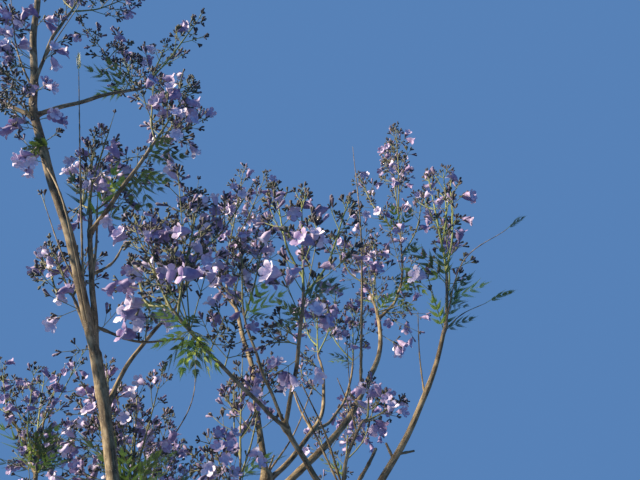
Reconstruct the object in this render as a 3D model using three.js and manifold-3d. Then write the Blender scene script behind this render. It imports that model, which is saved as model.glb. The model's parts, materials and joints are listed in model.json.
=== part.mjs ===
// A young jacaranda in flower: a short trunk, a vase of bare ascending boughs, and an open
// crown of upright panicles on nearly leafless shoots.
// Millimetres, +Z up. The origin is the middle of the flat cut under the trunk.

import Module from "manifold-3d";
import * as THREE from "three";
import { mergeVertices } from "three/addons/utils/BufferGeometryUtils.js";

const wasm = await Module();
wasm.setup();

// Clearances.
const LIMB_GAP = 0.35;
const LIMB_CLEARANCE = 7;
const SPACE_MARGIN = 3;

// Trunk.
const TRUNK_SIDES = 12;
const TRUNK_RINGS = 9;
const ROOT_FLARE = 42;
const ROOT_FLARE_HEIGHT = 95;
const ROOT_LOBES = 5;
const ROOT_LOBE_DEPTH = 0.13;

// Limbs.
const THICK_LIMB = 16;
const THICK_LIMB_SIDES = 6;
const THIN_LIMB_SIDES = 5;
const RING_SPACING = 205;
const TAPER = 0.8;
const COLLAR = 0.3;
const COLLAR_REACH = 2.6;
const CARRY_ON_SHARE = 0.975;
const WIGGLE = 0.006;
const TIP_ROUNDING = 0.02;

// Shoots that carry the blossom.
const NECK = 36;
const STEM_RADIUS = 6.4;
const SHOOT_RADIUS = 2.8;
const RACHIS_TIP_RADIUS = 2.3;
const SHOOT_LIFT = 0.3;
const GOLDEN_ANGLE = 2.399963;
const SHOOT_TRIES = 8;

// Panicles, each a rachis with opposite pairs of sprays and one at its tip.
const MAIN_PANICLE = 250;
const PANICLE_SHARE = 0.6;
const MAIN_PAIRS = 3;
const SIDE_PANICLE = 190;
const SIDE_PAIRS = 2;
const SPRAY_LENGTH = 122;
const SPRAY_SHARE = 0.41;
const SPRAY_FULLNESS = 0.26;
const SPRAY_WIDEST = 0.62;
const SPRAY_PROFILE = [[0.3, 0.48], [SPRAY_WIDEST, 1], [0.85, 0.4]];
const RUN_PROFILE = [0.1, 0.3, 0.5, 0.7, 0.9].map((share) => [share, 1.2]);
const SPRAY_ANGLE = 0.95;
const SPRAY_SHRINK = 0.5;

// The few young leaves.
const LEAF_LENGTH = 165;
const LEAF_FULLNESS = 0.22;
const LEAF_THICKNESS = 0.045;

const UP = new THREE.Vector3(0, 0, 1);

// A limb grows on another at a share of its length: heading and rise in degrees, its length,
// how far it sags below its chord and drifts to the side, and its radius at foot and tip.
const LIMB_ROWS = [
  limb("trunk", null, 0, 18.4, 87.0, 1202, 0, 12, 66, 54),
  limb("left_stem", "trunk", 0.93, -157.9, 69.8, 1620, -10, -15, 21, 17.5),
  limb("left_leader", "left_stem", 0.98, -126.6, 53.2, 1052, 6, 30, 17.5, 16),
  limb("left_top", "left_leader", 0.98, -109.3, 61.3, 920, -40, -35, 16, 8.5),
  limb("centre_stem", "trunk", 0.97, 98.0, 81.3, 1408, 30, 10, 27, 18),
  limb("right_stem", "trunk", 0.9, 25.6, 78.8, 1367, 40, 0, 26, 17),
  limb("low_right_bough", "trunk", 0.82, 10.0, 39.9, 1677, 110, 0, 25, 11),
  limb("back_bough", "trunk", 0.87, 76.0, 58.7, 2231, 150, 0, 24, 10),
  limb("back_left_bough", "trunk", 0.79, 146.9, 56.1, 2246, 100, 0, 23, 10),
  limb("left_twin", "left_stem", 0.97, -112.5, 58.4, 554, 9, -3, 11.5, 8),
  limb("left_twin_right", "left_twin", 0.96, -47.6, 27.4, 322, -3, 1, 8.5, 6),
  limb("left_low_right", "left_stem", 0.92, -25.5, 69.5, 368, -60, 10, 9, 6),
  limb("left_high_right", "left_leader", 0.96, 3.6, 40.8, 383, -5, -6, 8.8, 6.5),
  limb("left_high", "left_top", 0.15, -70.7, 67.3, 373, 35, 0, 7, 5.5),
  limb("left_low", "left_leader", 0.12, -134.3, 48.4, 140, 0, 0, 6.5, 5.5),
  limb("left_side", "left_leader", 0.96, -169.1, 37.7, 439, 40, 0, 9, 6.5),
  limb("left_front", "left_top", 0.72, -50.3, 6.0, 853, 50, 0, 9, 6),
  limb("left_inner", "left_stem", 0.56, 120.1, 55.1, 637, 30, 0, 10, 6.5),
  limb("centre_left_bough", "centre_stem", 0.97, 178.9, 75.5, 954, -28, 91, 12.5, 7.5),
  limb("centre_right_bough", "centre_stem", 0.93, 8.6, 63.8, 1013, 127, -93, 14, 8.5),
  limb("centre_right_top", "centre_right_bough", 0.95, 0.4, 64.6, 320, 27, 14, 7.5, 6),
  limb("centre_back_bough", "centre_stem", 0.98, 58.4, 65.0, 821, 53, -73, 11, 6),
  limb("centre_back_right", "centre_back_bough", 0.39, 58.6, 55.3, 616, 59, 4, 7.5, 5.5),
  limb("centre_low", "centre_stem", 0.6, -121.7, 74.2, 415, 25, 0, 9, 6),
  limb("right_left_bough", "right_stem", 0.97, -130.8, 30.7, 340, 3, -13, 11, 8.5),
  limb("right_left_low", "right_left_bough", 0.95, -120.4, 3.9, 478, 18, 6, 7, 5.5),
  limb("right_left_mid", "right_left_bough", 0.92, -142.2, 59.7, 344, -1, -7, 6.2, 5),
  limb("right_left_top", "right_left_bough", 0.97, -81.6, 14.2, 391, 13, 4, 7.5, 5.8),
  limb("right_mid_bough", "right_stem", 0.96, -76.1, 50.9, 250, 4, -24, 8, 5),
  limb("right_far_bough", "right_stem", 0.93, -49.0, 43.2, 679, 12, 45, 13.5, 7.5),
  limb("low_right_front", "low_right_bough", 0.62, -65.3, 42.1, 1832, 190, 0, 14, 7),
  limb("low_right_back", "low_right_bough", 0.75, 67.9, 38.6, 957, 80, 0, 11, 6.5),
  limb("back_left_side", "back_bough", 0.62, 163.0, 37.1, 1136, 90, 0, 11, 6.5),
];

// A mass of blossom stands on a limb's tip: heading and rise of its stem in degrees, its height,
// its side shoots, how far they splay in degrees, and its leaves.
const MASS_ROWS = [
  mass("left_top", -129, 83, 515, 3, 42, 1),
  mass("left_twin", -124, 66, 430, 3, 42, 1),
  mass("left_twin_right", -37, 66, 330, 3, 44, 1),
  mass("left_low_right", -98, 72, 600, 3, 42, 1),
  mass("left_high_right", -70, 84, 445, 3, 60, 1),
  mass("left_high", -100, 81, 380, 2, 50, 0),
  mass("left_low", -167, 48, 300, 2, 45, 0),
  mass("left_side", -110, 66, 480, 3, 50, 1),
  mass("left_front", -76, 56, 520, 3, 50, 1),
  mass("left_inner", 180, 75, 470, 3, 45, 1),
  mass("centre_left_bough", -77, 66, 790, 4, 46, 1),
  mass("centre_right_bough", -136, 61, 550, 2, 36, 1),
  mass("centre_right_top", -97, 71, 885, 4, 30, 2),
  mass("centre_back_bough", -124, 88, 450, 2, 38, 0),
  mass("centre_back_right", 50, 86, 500, 2, 38, 1),
  mass("centre_low", -171, 84, 564, 3, 34, 1),
  mass("right_left_low", -155, 48, 430, 2, 40, 2),
  mass("right_left_mid", -159, 81, 480, 2, 36, 1),
  mass("right_left_top", -101, 77, 480, 2, 30, 1),
  mass("right_mid_bough", 28, 24, 205, 1, 45, 0),
  mass("right_far_bough", -92, 79, 700, 3, 20, 2),
  mass("low_right_bough", -4, 52, 600, 3, 55, 1),
  mass("low_right_front", -84, 70, 680, 3, 55, 1),
  mass("low_right_back", 34, 63, 560, 3, 56, 1),
  mass("back_bough", 69, 76, 700, 3, 55, 1),
  mass("back_left_bough", 175, 70, 600, 4, 62, 2),
  mass("back_left_side", 165, 78, 480, 3, 60, 1),
];

function limb(name, on, share, heading, rise, length, sag, drift, foot, tip) {
  return { name, on, share, heading, rise, length, sag, drift, foot, tip };
}

function mass(on, heading, rise, height, shoots, splay, leaves) {
  return { on, heading, rise, height, shoots, splay, leaves };
}

// A stream of repeatable numbers from 0 to 1.
function stream(seed) {
  let state = Math.imul(seed, 2654435761) >>> 0;
  return () => {
    state = (Math.imul(state, 1664525) + 1013904223) >>> 0;
    return state / 4294967296;
  };
}

function pointing(heading, rise) {
  const turn = THREE.MathUtils.degToRad(heading);
  const tilt = THREE.MathUtils.degToRad(rise);
  const flat = Math.cos(tilt);
  return new THREE.Vector3(flat * Math.cos(turn), flat * Math.sin(turn), Math.sin(tilt));
}

function along(from, direction, distance) {
  return from.clone().addScaledVector(direction, distance);
}

function blend(from, to, share) {
  return from.clone().lerp(to, share).normalize();
}

// A direction's own two square axes, the first of them level.
function squareAxes(direction) {
  const side = new THREE.Vector3().crossVectors(UP, direction);
  if (side.lengthSq() < 1e-12) side.set(1, 0, 0);
  side.normalize();
  return [side, new THREE.Vector3().crossVectors(direction, side)];
}

// The same two axes for a run that turns, kept from twisting by one side for all of it.
function axesAlong(side, direction) {
  const across = side.clone().addScaledVector(direction, -side.dot(direction)).normalize();
  return [across, new THREE.Vector3().crossVectors(across, direction)];
}

// A direction leaned by an angle, turned about the first one.
function leaned(direction, angle, turn) {
  const [side, rear] = squareAxes(direction);
  return direction
    .clone()
    .multiplyScalar(Math.cos(angle))
    .addScaledVector(side, Math.sin(angle) * Math.cos(turn))
    .addScaledVector(rear, Math.sin(angle) * Math.sin(turn));
}

// A limb at its parent's tip and as thick as it carries it on, and has no collar.
function placeLimbs() {
  const placed = new Map();
  LIMB_ROWS.forEach((row, index) => {
    const chord = pointing(row.heading, row.rise);
    const [side, rear] = squareAxes(chord);
    const under = rear.z > 0 ? rear.negate() : rear;
    const parent = placed.get(row.on);
    const base = parent ? limbPoint(parent, row.share) : new THREE.Vector3();
    const carriesOn = parent && row.share > CARRY_ON_SHARE && row.foot >= parent.tip;
    const collar = carriesOn ? 0 : COLLAR;
    placed.set(row.name, { ...row, index, chord, side, under, base, collar });
  });
  return placed;
}

function limbPoint(limb, t) {
  const arch = 4 * t * (1 - t);
  const sway = WIGGLE * limb.length * Math.sin(Math.PI * t);
  const phase = 2.4 * limb.index;
  return along(limb.base, limb.chord, limb.length * t)
    .addScaledVector(limb.under, arch * limb.sag + sway * Math.sin(14.5 * t + 2 * phase))
    .addScaledVector(limb.side, arch * limb.drift + sway * Math.sin(9.4 * t + phase));
}

function limbDirection(limb, t) {
  const step = 0.01;
  const after = limbPoint(limb, Math.min(t + step, 1));
  return after.sub(limbPoint(limb, Math.max(t - step, 0))).normalize();
}

function limbRadius(limb, t) {
  const taper = limb.tip + (limb.foot - limb.tip) * (1 - t) ** TAPER;
  const fromFoot = (t * limb.length) / (COLLAR_REACH * limb.foot);
  return taper + limb.collar * limb.foot * Math.exp(-fromFoot * fromFoot);
}

function trunkRadius(limb, t, angle) {
  const height = t * limb.length;
  const flare = ROOT_FLARE * Math.exp(-height / ROOT_FLARE_HEIGHT);
  const lobes = ROOT_LOBE_DEPTH * Math.exp(-height / (2 * ROOT_FLARE_HEIGHT));
  const taper = limb.tip + (limb.foot - limb.tip) * (1 - t);
  return (taper + flare) * (1 + lobes * Math.cos(ROOT_LOBES * angle + 0.6));
}

// Bends an upright unit cylinder: place gives the point for a height share and a rim vector.
function bentCylinder(sides, rings, place) {
  const geometry = new THREE.CylinderGeometry(1, 1, 1, sides, rings);
  const position = geometry.attributes.position;
  for (let i = 0; i < position.count; i += 1) {
    const share = THREE.MathUtils.clamp(position.getY(i) + 0.5, 0, 1);
    const point = place(share, position.getX(i), position.getZ(i));
    position.setXYZ(i, point.x, point.y, point.z);
  }
  return geometry;
}

function trunkGeometry(limb, grow) {
  const place = (t, x, z) => {
    const share = t ** 1.5;
    const radius = trunkRadius(limb, share, Math.atan2(-z, x)) + grow;
    const dome = share > 1 - TIP_ROUNDING ? 0.72 : 1;
    const centre = along(limbPoint(limb, share), UP, (2 * share - 1) * grow);
    return centre.add(new THREE.Vector3(x, -z, 0).multiplyScalar(radius * dome));
  };
  return bentCylinder(TRUNK_SIDES, TRUNK_RINGS, place);
}

function boughGeometry(limb, grow) {
  const rings = Math.max(3, Math.round(limb.length / RING_SPACING));
  const place = (t, x, z) => {
    const direction = limbDirection(limb, t);
    const [across, out] = axesAlong(limb.side, direction);
    const radius = limbRadius(limb, t) + grow;
    const centre = along(limbPoint(limb, t), direction, (2 * t - 1) * grow);
    return centre.addScaledVector(across, x * radius).addScaledVector(out, z * radius);
  };
  return bentCylinder(limb.foot > THICK_LIMB ? THICK_LIMB_SIDES : THIN_LIMB_SIDES, rings, place);
}

function limbGeometry(limb, grow) {
  return limb.on ? boughGeometry(limb, grow) : trunkGeometry(limb, grow);
}

// A closed solid from a geometry's own triangles.
function solid(geometry) {
  geometry.deleteAttribute("normal");
  geometry.deleteAttribute("uv");
  const merged = mergeVertices(geometry, 1e-4);
  const whole = new wasm.Mesh({
    numProp: 3,
    vertProperties: new Float32Array(merged.attributes.position.array),
    triVerts: new Uint32Array(merged.index.array),
  });
  return new wasm.Manifold(whole);
}

function largestPiece(joined) {
  return joined.decompose().reduce((best, piece) => (piece.volume() > best.volume() ? piece : best));
}

function meshOf(name, piece, material) {
  const cut = piece.getMesh();
  const geometry = new THREE.BufferGeometry();
  geometry.setAttribute("position", new THREE.BufferAttribute(cut.vertProperties, 3));
  geometry.setIndex(new THREE.BufferAttribute(cut.triVerts, 1));
  geometry.computeVertexNormals();
  const mesh = new THREE.Mesh(geometry, material);
  mesh.name = name;
  return mesh;
}

// Each limb is cut clear of the limbs that were placed before it.
function buildLimbs(limbs) {
  const meshes = [];
  const cutters = [];
  for (const limb of limbs.values()) {
    let piece = solid(limbGeometry(limb, 0));
    for (const cutter of cutters) piece = piece.subtract(cutter);
    cutters.push(solid(limbGeometry(limb, LIMB_GAP)));
    meshes.push(meshOf(limb.name, largestPiece(piece), barkMaterial(limb)));
  }
  return meshes;
}

function barkMaterial(limb) {
  const color = limb.foot > 20 ? 0x857663 : 0x7c7260;
  return new THREE.MeshStandardMaterial({ color, roughness: 0.85, metalness: 0 });
}

function blossomMaterial() {
  return new THREE.MeshStandardMaterial({ color: 0x8a82b0, roughness: 0.75, metalness: 0 });
}

// The middle of a mass's own space, a little under half way up it.
function placeMasses(limbs) {
  return MASS_ROWS.map((row, index) => {
    const foot = limbs.get(row.on);
    const tip = limbPoint(foot, 1);
    const aim = pointing(row.heading, row.rise);
    const heart = along(tip, aim, row.height * 0.42);
    return { ...row, index, tip, aim, heart, tangent: limbDirection(foot, 1), balls: [] };
  });
}

function limbSegments(limbs) {
  const segments = [];
  for (const limb of limbs.values()) {
    const count = Math.max(4, Math.round(limb.length / 60));
    for (let i = 0; i < count; i += 1) {
      segments.push({
        limb: limb.name,
        line: new THREE.Line3(limbPoint(limb, i / count), limbPoint(limb, (i + 1) / count)),
        radius: limbRadius(limb, i / count),
      });
    }
  }
  return segments;
}

function insideOwnSpace(point, mass, masses) {
  return masses.every((other) => {
    if (other === mass) return true;
    const apart = other.heart.distanceTo(mass.heart);
    const toOther = point.distanceToSquared(other.heart);
    const toOwn = point.distanceToSquared(mass.heart);
    return (toOther - toOwn) / (2 * apart) > SPACE_MARGIN;
  });
}

function clearOfLimbs(from, to, halfWidth, segments) {
  const steps = Math.max(2, Math.ceil(from.distanceTo(to) / 12));
  for (let i = 0; i <= steps; i += 1) {
    const point = from.clone().lerp(to, i / steps);
    for (const segment of segments) {
      const near = segment.line.closestPointToPoint(point, true, new THREE.Vector3());
      if (near.distanceTo(point) < segment.radius + halfWidth + LIMB_CLEARANCE) return false;
    }
  }
  return true;
}

// Both ends, thickened by the half width, stay in the mass's space, and the length clears limbs.
function fits(from, to, halfWidth, mass, tree) {
  const [side, rear] = squareAxes(to.clone().sub(from).normalize());
  const corners = [from, to];
  const widest = from.clone().lerp(to, SPRAY_WIDEST);
  for (const axis of [side, rear]) {
    corners.push(along(widest, axis, halfWidth), along(widest, axis, -halfWidth));
  }
  if (!corners.every((corner) => insideOwnSpace(corner, mass, tree.masses))) return false;
  return clearOfLimbs(from, to, halfWidth, tree.segments);
}

// A three-sided stem through its joints.
function stem(joints, foot, tip) {
  const last = joints.length - 1;
  const [side] = squareAxes(joints[last].clone().sub(joints[0]).normalize());
  const place = (t, x, z) => {
    const joint = Math.round(t * last);
    const before = joints[Math.max(joint - 1, 0)];
    const after = joints[Math.min(joint + 1, last)];
    const [across, out] = axesAlong(side, after.clone().sub(before).normalize());
    const radius = foot + (tip - foot) * t;
    return joints[joint].clone().addScaledVector(across, x * radius).addScaledVector(out, z * radius);
  };
  return solid(bentCylinder(3, last, place));
}

// A pointed body round a run: a spray of blossom, or a leaf where it is flat.
function spindle(from, to, width, thickness, geometry) {
  const direction = to.clone().sub(from);
  const [side, rear] = squareAxes(direction.clone().normalize());
  const position = geometry.attributes.position;
  for (let i = 0; i < position.count; i += 1) {
    const share = [0, SPRAY_WIDEST, 1][Math.round(position.getY(i)) + 1];
    const point = from.clone().addScaledVector(direction, share);
    point.addScaledVector(side, position.getX(i) * width);
    point.addScaledVector(rear, -position.getZ(i) * thickness);
    position.setXYZ(i, point.x, point.y, point.z);
  }
  return solid(geometry);
}

function spray(from, to, halfWidth) {
  return spindle(from, to, halfWidth, halfWidth, new THREE.SphereGeometry(1, 3, 2));
}

function leaf(from, to, halfWidth) {
  return spindle(from, to, halfWidth, LEAF_LENGTH * LEAF_THICKNESS, new THREE.OctahedronGeometry(1));
}

// Opposite pairs of sprays up a rachis, shorter towards its tip, and one spray at its tip.
function growSprays(foot, direction, length, pairs, mass, tree) {
  const tip = along(foot, direction, length);
  const longest = sprayLength(mass);
  const parts = addSpray(along(tip, direction, -12), direction, longest * 0.75, mass, tree);
  for (let pair = 0; pair < pairs; pair += 1) {
    const share = (pair + 0.45) / pairs;
    const reach = longest * (1 - SPRAY_SHRINK * share);
    const root = along(foot, direction, length * share * 0.92);
    for (const half of [0, Math.PI]) {
      const turn = half + (pair * Math.PI) / 2 + mass.index;
      const lean = leaned(direction, SPRAY_ANGLE - 0.3 * share, turn);
      parts.push(...addSpray(root, lean, reach, mass, tree));
    }
  }
  return parts;
}

function addSpray(root, direction, reach, mass, tree) {
  const tip = along(root, blend(direction, UP, 0.12), reach);
  const halfWidth = reach * SPRAY_FULLNESS;
  return claim(root, tip, halfWidth, mass, tree) ? [spray(root, tip, halfWidth)] : [];
}

// Balls that stand for a body when two of one mass are kept apart.
function ballsOf(from, to, halfWidth, profile) {
  return profile.map(([share, fullness]) => {
    return { point: from.clone().lerp(to, share), radius: halfWidth * fullness };
  });
}

function clearOfOthers(balls, mass) {
  return balls.every((ball) =>
    mass.balls.every((other) => {
      return ball.point.distanceTo(other.point) >= ball.radius + other.radius;
    }));
}

// Takes a spray's or leaf's room in its mass, if it is free.
function claim(root, tip, halfWidth, mass, tree) {
  const balls = ballsOf(root, tip, halfWidth, SPRAY_PROFILE);
  if (!fits(root, tip, halfWidth, mass, tree) || !clearOfOthers(balls, mass)) return false;
  mass.balls.push(...balls);
  return true;
}

// A shoot that turns upward into its rachis; it is tried at new headings until it fits.
function findShoot(root, axis, number, mass, tree) {
  for (let attempt = 0; attempt < SHOOT_TRIES; attempt += 1) {
    const random = stream(1 + mass.index * 1000 + number * 20 + attempt);
    const turn = number * GOLDEN_ANGLE + attempt * 0.9 + random();
    const splay = THREE.MathUtils.degToRad(mass.splay) * (0.75 + 0.5 * random());
    const length = mass.height * (0.2 + 0.16 * random());
    const start = leaned(axis, splay, turn);
    const knee = along(root, start, length * 0.5);
    const end = along(knee, blend(start, UP, SHOOT_LIFT), length * 0.5);
    const rising = blend(start, UP, 2 * SHOOT_LIFT);
    const top = along(end, rising, panicleLength(mass, SIDE_PANICLE));
    const runs = [[along(root, start, 12), knee], [knee, end], [end, top]];
    const balls = runs.flatMap(([from, to]) => ballsOf(from, to, SHOOT_RADIUS, RUN_PROFILE));
    const fit = runs.every(([from, to]) => fits(from, to, SHOOT_RADIUS, mass, tree));
    if (fit && clearOfOthers(balls, mass)) {
      mass.balls.push(...balls);
      return { knee, end, top, rising };
    }
  }
  return null;
}

function growShoot(root, axis, number, mass, tree) {
  const shoot = findShoot(root, axis, number, mass, tree);
  if (!shoot) return [];
  return [
    stem([root, shoot.knee, shoot.end, shoot.top], SHOOT_RADIUS, RACHIS_TIP_RADIUS),
    ...growSprays(shoot.end, shoot.rising, panicleLength(mass, SIDE_PANICLE), SIDE_PAIRS, mass, tree),
  ];
}

function growLeaf(root, axis, number, mass, tree) {
  const random = stream(7 + mass.index * 1000 + number * 20);
  for (let attempt = 0; attempt < SHOOT_TRIES; attempt += 1) {
    const turn = number * 2.9 + attempt * 0.8 + 2 * random();
    const tip = along(root, leaned(axis, 1.05, turn), LEAF_LENGTH);
    const halfWidth = LEAF_LENGTH * LEAF_FULLNESS;
    if (claim(root, tip, halfWidth, mass, tree)) return [leaf(root, tip, halfWidth)];
  }
  return [];
}

// A low mass has shorter panicles and sprays than the others.
function panicleLength(mass, full) {
  return Math.min(full, mass.height * PANICLE_SHARE);
}

function sprayLength(mass) {
  return Math.min(SPRAY_LENGTH, mass.height * SPRAY_SHARE);
}

// The stem's joints, from the bough's tip, turning from its run to the mass's own heading.
function stemJoints(mass) {
  const foot = along(mass.tip, mass.tangent, LIMB_GAP);
  const neck = along(foot, mass.tangent, NECK);
  const panicle = panicleLength(mass, MAIN_PANICLE);
  const rest = Math.max(mass.height - NECK - panicle - sprayLength(mass) * 0.6, 40);
  const bend = along(neck, blend(mass.tangent, mass.aim, 0.6), rest * 0.5);
  const end = along(bend, mass.aim, rest * 0.5);
  const top = along(end, blend(mass.aim, UP, 0.25), panicle);
  return [foot, neck, bend, end, top];
}

function growMass(mass, tree) {
  const joints = stemJoints(mass);
  const [, neck, bend, end] = joints;
  const footRadius = Math.min(STEM_RADIUS, tree.limbs.get(mass.on).tip * 0.8);
  const rising = blend(mass.aim, UP, 0.25);
  const parts = [
    stem(joints, footRadius, RACHIS_TIP_RADIUS),
    ...growSprays(end, rising, panicleLength(mass, MAIN_PANICLE), MAIN_PAIRS, mass, tree),
  ];
  mass.balls.push(...ballsOf(bend, end, SHOOT_RADIUS, RUN_PROFILE));
  for (let number = 0; number < mass.shoots; number += 1) {
    const share = (2 * (number + 0.5)) / mass.shoots;
    const root = share < 1 ? neck.clone().lerp(bend, share) : bend.clone().lerp(end, share - 1);
    parts.push(...growShoot(root, mass.aim, number, mass, tree));
  }
  for (let number = 0; number < mass.leaves; number += 1) {
    const root = neck.clone().lerp(bend, 0.3 + 0.5 * number);
    parts.push(...growLeaf(root, mass.aim, number, mass, tree));
  }
  return largestPiece(parts.reduce((joined, part) => joined.add(part)));
}

function buildTree() {
  const limbs = placeLimbs();
  const tree = { limbs, masses: placeMasses(limbs), segments: limbSegments(limbs) };
  const group = new THREE.Group();
  group.add(...buildLimbs(limbs));
  for (const each of tree.masses) {
    group.add(meshOf(`${each.on}_blossom`, growMass(each, tree), blossomMaterial()));
  }
  return group;
}

export default buildTree();
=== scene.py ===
"""A young jacaranda in flower: bark, twigs, panicles and young leaves grown over its CAD limbs."""

import json
import math
from collections import namedtuple
from dataclasses import dataclass, field

import bpy
import numpy as np
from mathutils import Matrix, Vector, noise

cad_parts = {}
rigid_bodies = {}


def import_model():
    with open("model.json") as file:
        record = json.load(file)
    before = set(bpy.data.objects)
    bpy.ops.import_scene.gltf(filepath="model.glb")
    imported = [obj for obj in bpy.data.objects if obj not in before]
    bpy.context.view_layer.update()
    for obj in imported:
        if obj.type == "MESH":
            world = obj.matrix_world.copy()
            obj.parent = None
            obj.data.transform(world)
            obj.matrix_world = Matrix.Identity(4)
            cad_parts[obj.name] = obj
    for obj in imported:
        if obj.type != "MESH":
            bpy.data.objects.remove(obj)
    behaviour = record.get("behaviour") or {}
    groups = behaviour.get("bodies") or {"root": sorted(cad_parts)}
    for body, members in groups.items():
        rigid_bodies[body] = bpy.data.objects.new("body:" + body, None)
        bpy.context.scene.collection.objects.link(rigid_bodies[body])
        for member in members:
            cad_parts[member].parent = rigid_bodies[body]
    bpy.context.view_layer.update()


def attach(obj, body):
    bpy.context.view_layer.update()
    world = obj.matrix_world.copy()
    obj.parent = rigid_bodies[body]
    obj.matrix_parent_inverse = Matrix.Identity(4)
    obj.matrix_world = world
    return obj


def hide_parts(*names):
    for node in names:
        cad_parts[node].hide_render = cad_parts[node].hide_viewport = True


# The growth rule of the CAD source, in metres.
LIMB_GAP = 0.00035
LIMB_CLEARANCE = 0.007
SPACE_MARGIN = 0.003
ROOT_FLARE = 0.042
ROOT_FLARE_HEIGHT = 0.095
ROOT_LOBES = 5
ROOT_LOBE_DEPTH = 0.13
ROOT_LOBE_TURN = 0.6
TAPER = 0.8
COLLAR = 0.3
COLLAR_REACH = 2.6
CARRY_ON_SHARE = 0.975
WIGGLE = 0.006
WIGGLE_PHASE = 2.4
WIGGLE_ASIDE = 9.4
WIGGLE_DOWN = 14.5
LIMB_SEGMENT = 0.060
CHECK_STEP = 0.012
HEART_SHARE = 0.42
NECK = 0.036
STEM_RADIUS = 0.0064
SHOOT_RADIUS = 0.0028
SHOOT_START = 0.012
SHOOT_TURN = 0.9
SHOOT_LENGTHS = (0.2, 0.16)
SHOOT_SPLAYS = (0.75, 0.5)
SHOOT_LIFT = 0.3
GOLDEN_ANGLE = 2.399963
SHOOT_TRIES = 8
MAIN_PANICLE = 0.250
PANICLE_SHARE = 0.6
MAIN_PAIRS = 3
SIDE_PANICLE = 0.190
SIDE_PAIRS = 2
STEM_BEND = 0.6
SHORTEST_STEM = 0.040
PANICLE_LIFT = 0.25
TIP_SPRAY = 0.75
TIP_SPRAY_DEPTH = 0.012
TIP_SPRAY_ROOM = 0.6
PAIR_START = 0.45
RACHIS_SHARE = 0.92
SPRAY_LENGTH = 0.122
SPRAY_SHARE = 0.41
SPRAY_FULLNESS = 0.26
SPRAY_WIDEST = 0.62
SPRAY_PROFILE = ((0.3, 0.48), (SPRAY_WIDEST, 1), (0.85, 0.4))
RUN_PROFILE = tuple((share, 1.2) for share in (0.1, 0.3, 0.5, 0.7, 0.9))
SPRAY_ANGLE = 0.95
SPRAY_CLOSING = 0.3
SPRAY_LIFT = 0.12
SPRAY_SHRINK = 0.5
LEAF_LENGTH = 0.165
LEAF_FULLNESS = 0.22
LEAF_LEAN = 1.05
LEAF_TURN = 2.9
LEAF_RETRY_TURN = 0.8
LEAF_PLACES = (0.3, 0.5)

# Bark surface.
RING_STEP = 0.011
TRUNK_SIDES = 56
TRUNK_STEP = 0.009
THICK_SIDES = 18
THIN_SIDES = 12
THICK_LIMB = 0.016
SCAR_SPACING = 0.085
FURROW_DEPTH = 0.003
BARK_INSET = 0.93
FILLET = 1.5
FILLET_ZONE = 4
FILLET_LIFT = 0.25
EASING = 30
SCAR_SEED = 900
SCAR_HEIGHT = 0.1
SCAR_WIDTH = 0.004
SCAR_FADE = 0.025
SCAR_SPREAD = 0.2
SCAR_STRENGTH = (0.35, 1)
SCAR_STEPS = (0.6, 1.4)
SCAR_SWING = 0.2
GRAIN_SHIFT = 3.0
FURROW_STRETCH = 0.12
FURROW_SCALE = 95
FURROW_SHARE = 0.045
FURROW_SHARPNESS = 1.6
LUMP_STRETCH = 0.6
LUMP_SCALE = 22
LUMP_HEIGHT = 0.05
SURFACE_STEP = 0.02
DOME_ANGLES = (0.5, 0.95, 1.3)
DOME_HEIGHT = 0.8
TUBE_POINT = 0.6
WHIP_SIDES = 7
WHIP_JOINTS = 0.06
WHIP_STEP = 0.03
WHIP_GRAIN_SHIFT = 5
NOISE_SHIFT = (7.3, 3.1, 1.7)

# Panicles.
LEVEL_STEP = 0.052
LEVEL_STEPS = (0.8, 1.2)
FIRST_LEVEL = 0.012
LAST_LEVEL = 0.008
LEVEL_SWING = 0.25
LEAST_LEAN = 0.45
LEVEL_REACH = (0.7, 1.05)
TOP_SHRINK = 0.4
PANICLE_TIP = 0.65
TIP_REACH = 0.018
BUD_LENGTH = 0.026
LONG_BUDS = 0.2
OPEN_SHARE = 0.25
BUD_SPREAD = (0.15, 0.7)
LONG_BUD_SIZE = (1.0, 1.5)
ROUND_BUD_SIZE = (0.6, 1.0)
FLOWER_LENGTH = 0.054
FLOWER_SIZE = (0.85, 1.08)
FLOWER_LEAN = (0.7, 1.4)
FLOWER_DROOP = (0.05, 0.35)
ROLL = (-0.4, 0.4)
SHOOT_FOOT_RADIUS = SHOOT_RADIUS * 1.3
SHOOT_TIP_RADIUS = 0.0019
SHOOT_JOINTS = 0.055
RACHIS_TIP_RADIUS = 0.0007
STALK_RADIUS = 0.0017
STALK_LIFT = 0.14
STALK_FULLNESS = 0.16
TWIGLETS = ((0.45, 0.34), (0.74, 0.24))
STALK_KNEE = 0.45
TWIGLET_SPREAD = (0.6, 0.95)
TWIGLET_REACH = (0.7, 1.2)
TWIGLET_LIFT = 0.1
TWIGLET_RADIUS = 0.0012
TWIGLET_TIP_RADIUS = 0.0008
TWIGLET_MISSES = 0.42
SHORTEST_TWIGLET = 0.009
FINE_CLEARANCE = 0.002
STEM_SINK = 0.012
STEM_JOINTS = 0.07
STEM_EASING = 0.035
STEM_FREE = 0.07
STEM_SHARE = 0.8
STEM_STEP = 0.05
STEM_STALKS = 0.45
STEM_STALK_LEAN = (0.75, 1)
STEM_STALK_REACH = (0.55, 0.95)
STEM_STALK_STEPS = (0.8, 1.3)
STEM_BLOOM_HEIGHT = 0.25
JOINT_SWELL = 0.35
JOINT_WIDTH = 0.005
MASS_SEED = 40
GREEN_SHARE = 0.35

# Sprigs: how freely each kind flowers.
SPRIG_BLOOM = {
    "buds": 0.0, "bloom": 4.0, "panicle": 0.3, "full_panicle": 1.4,
    "flower": 1.5, "dusky_flower": 1.5, "pale_flower": 1.5,
}
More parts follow.
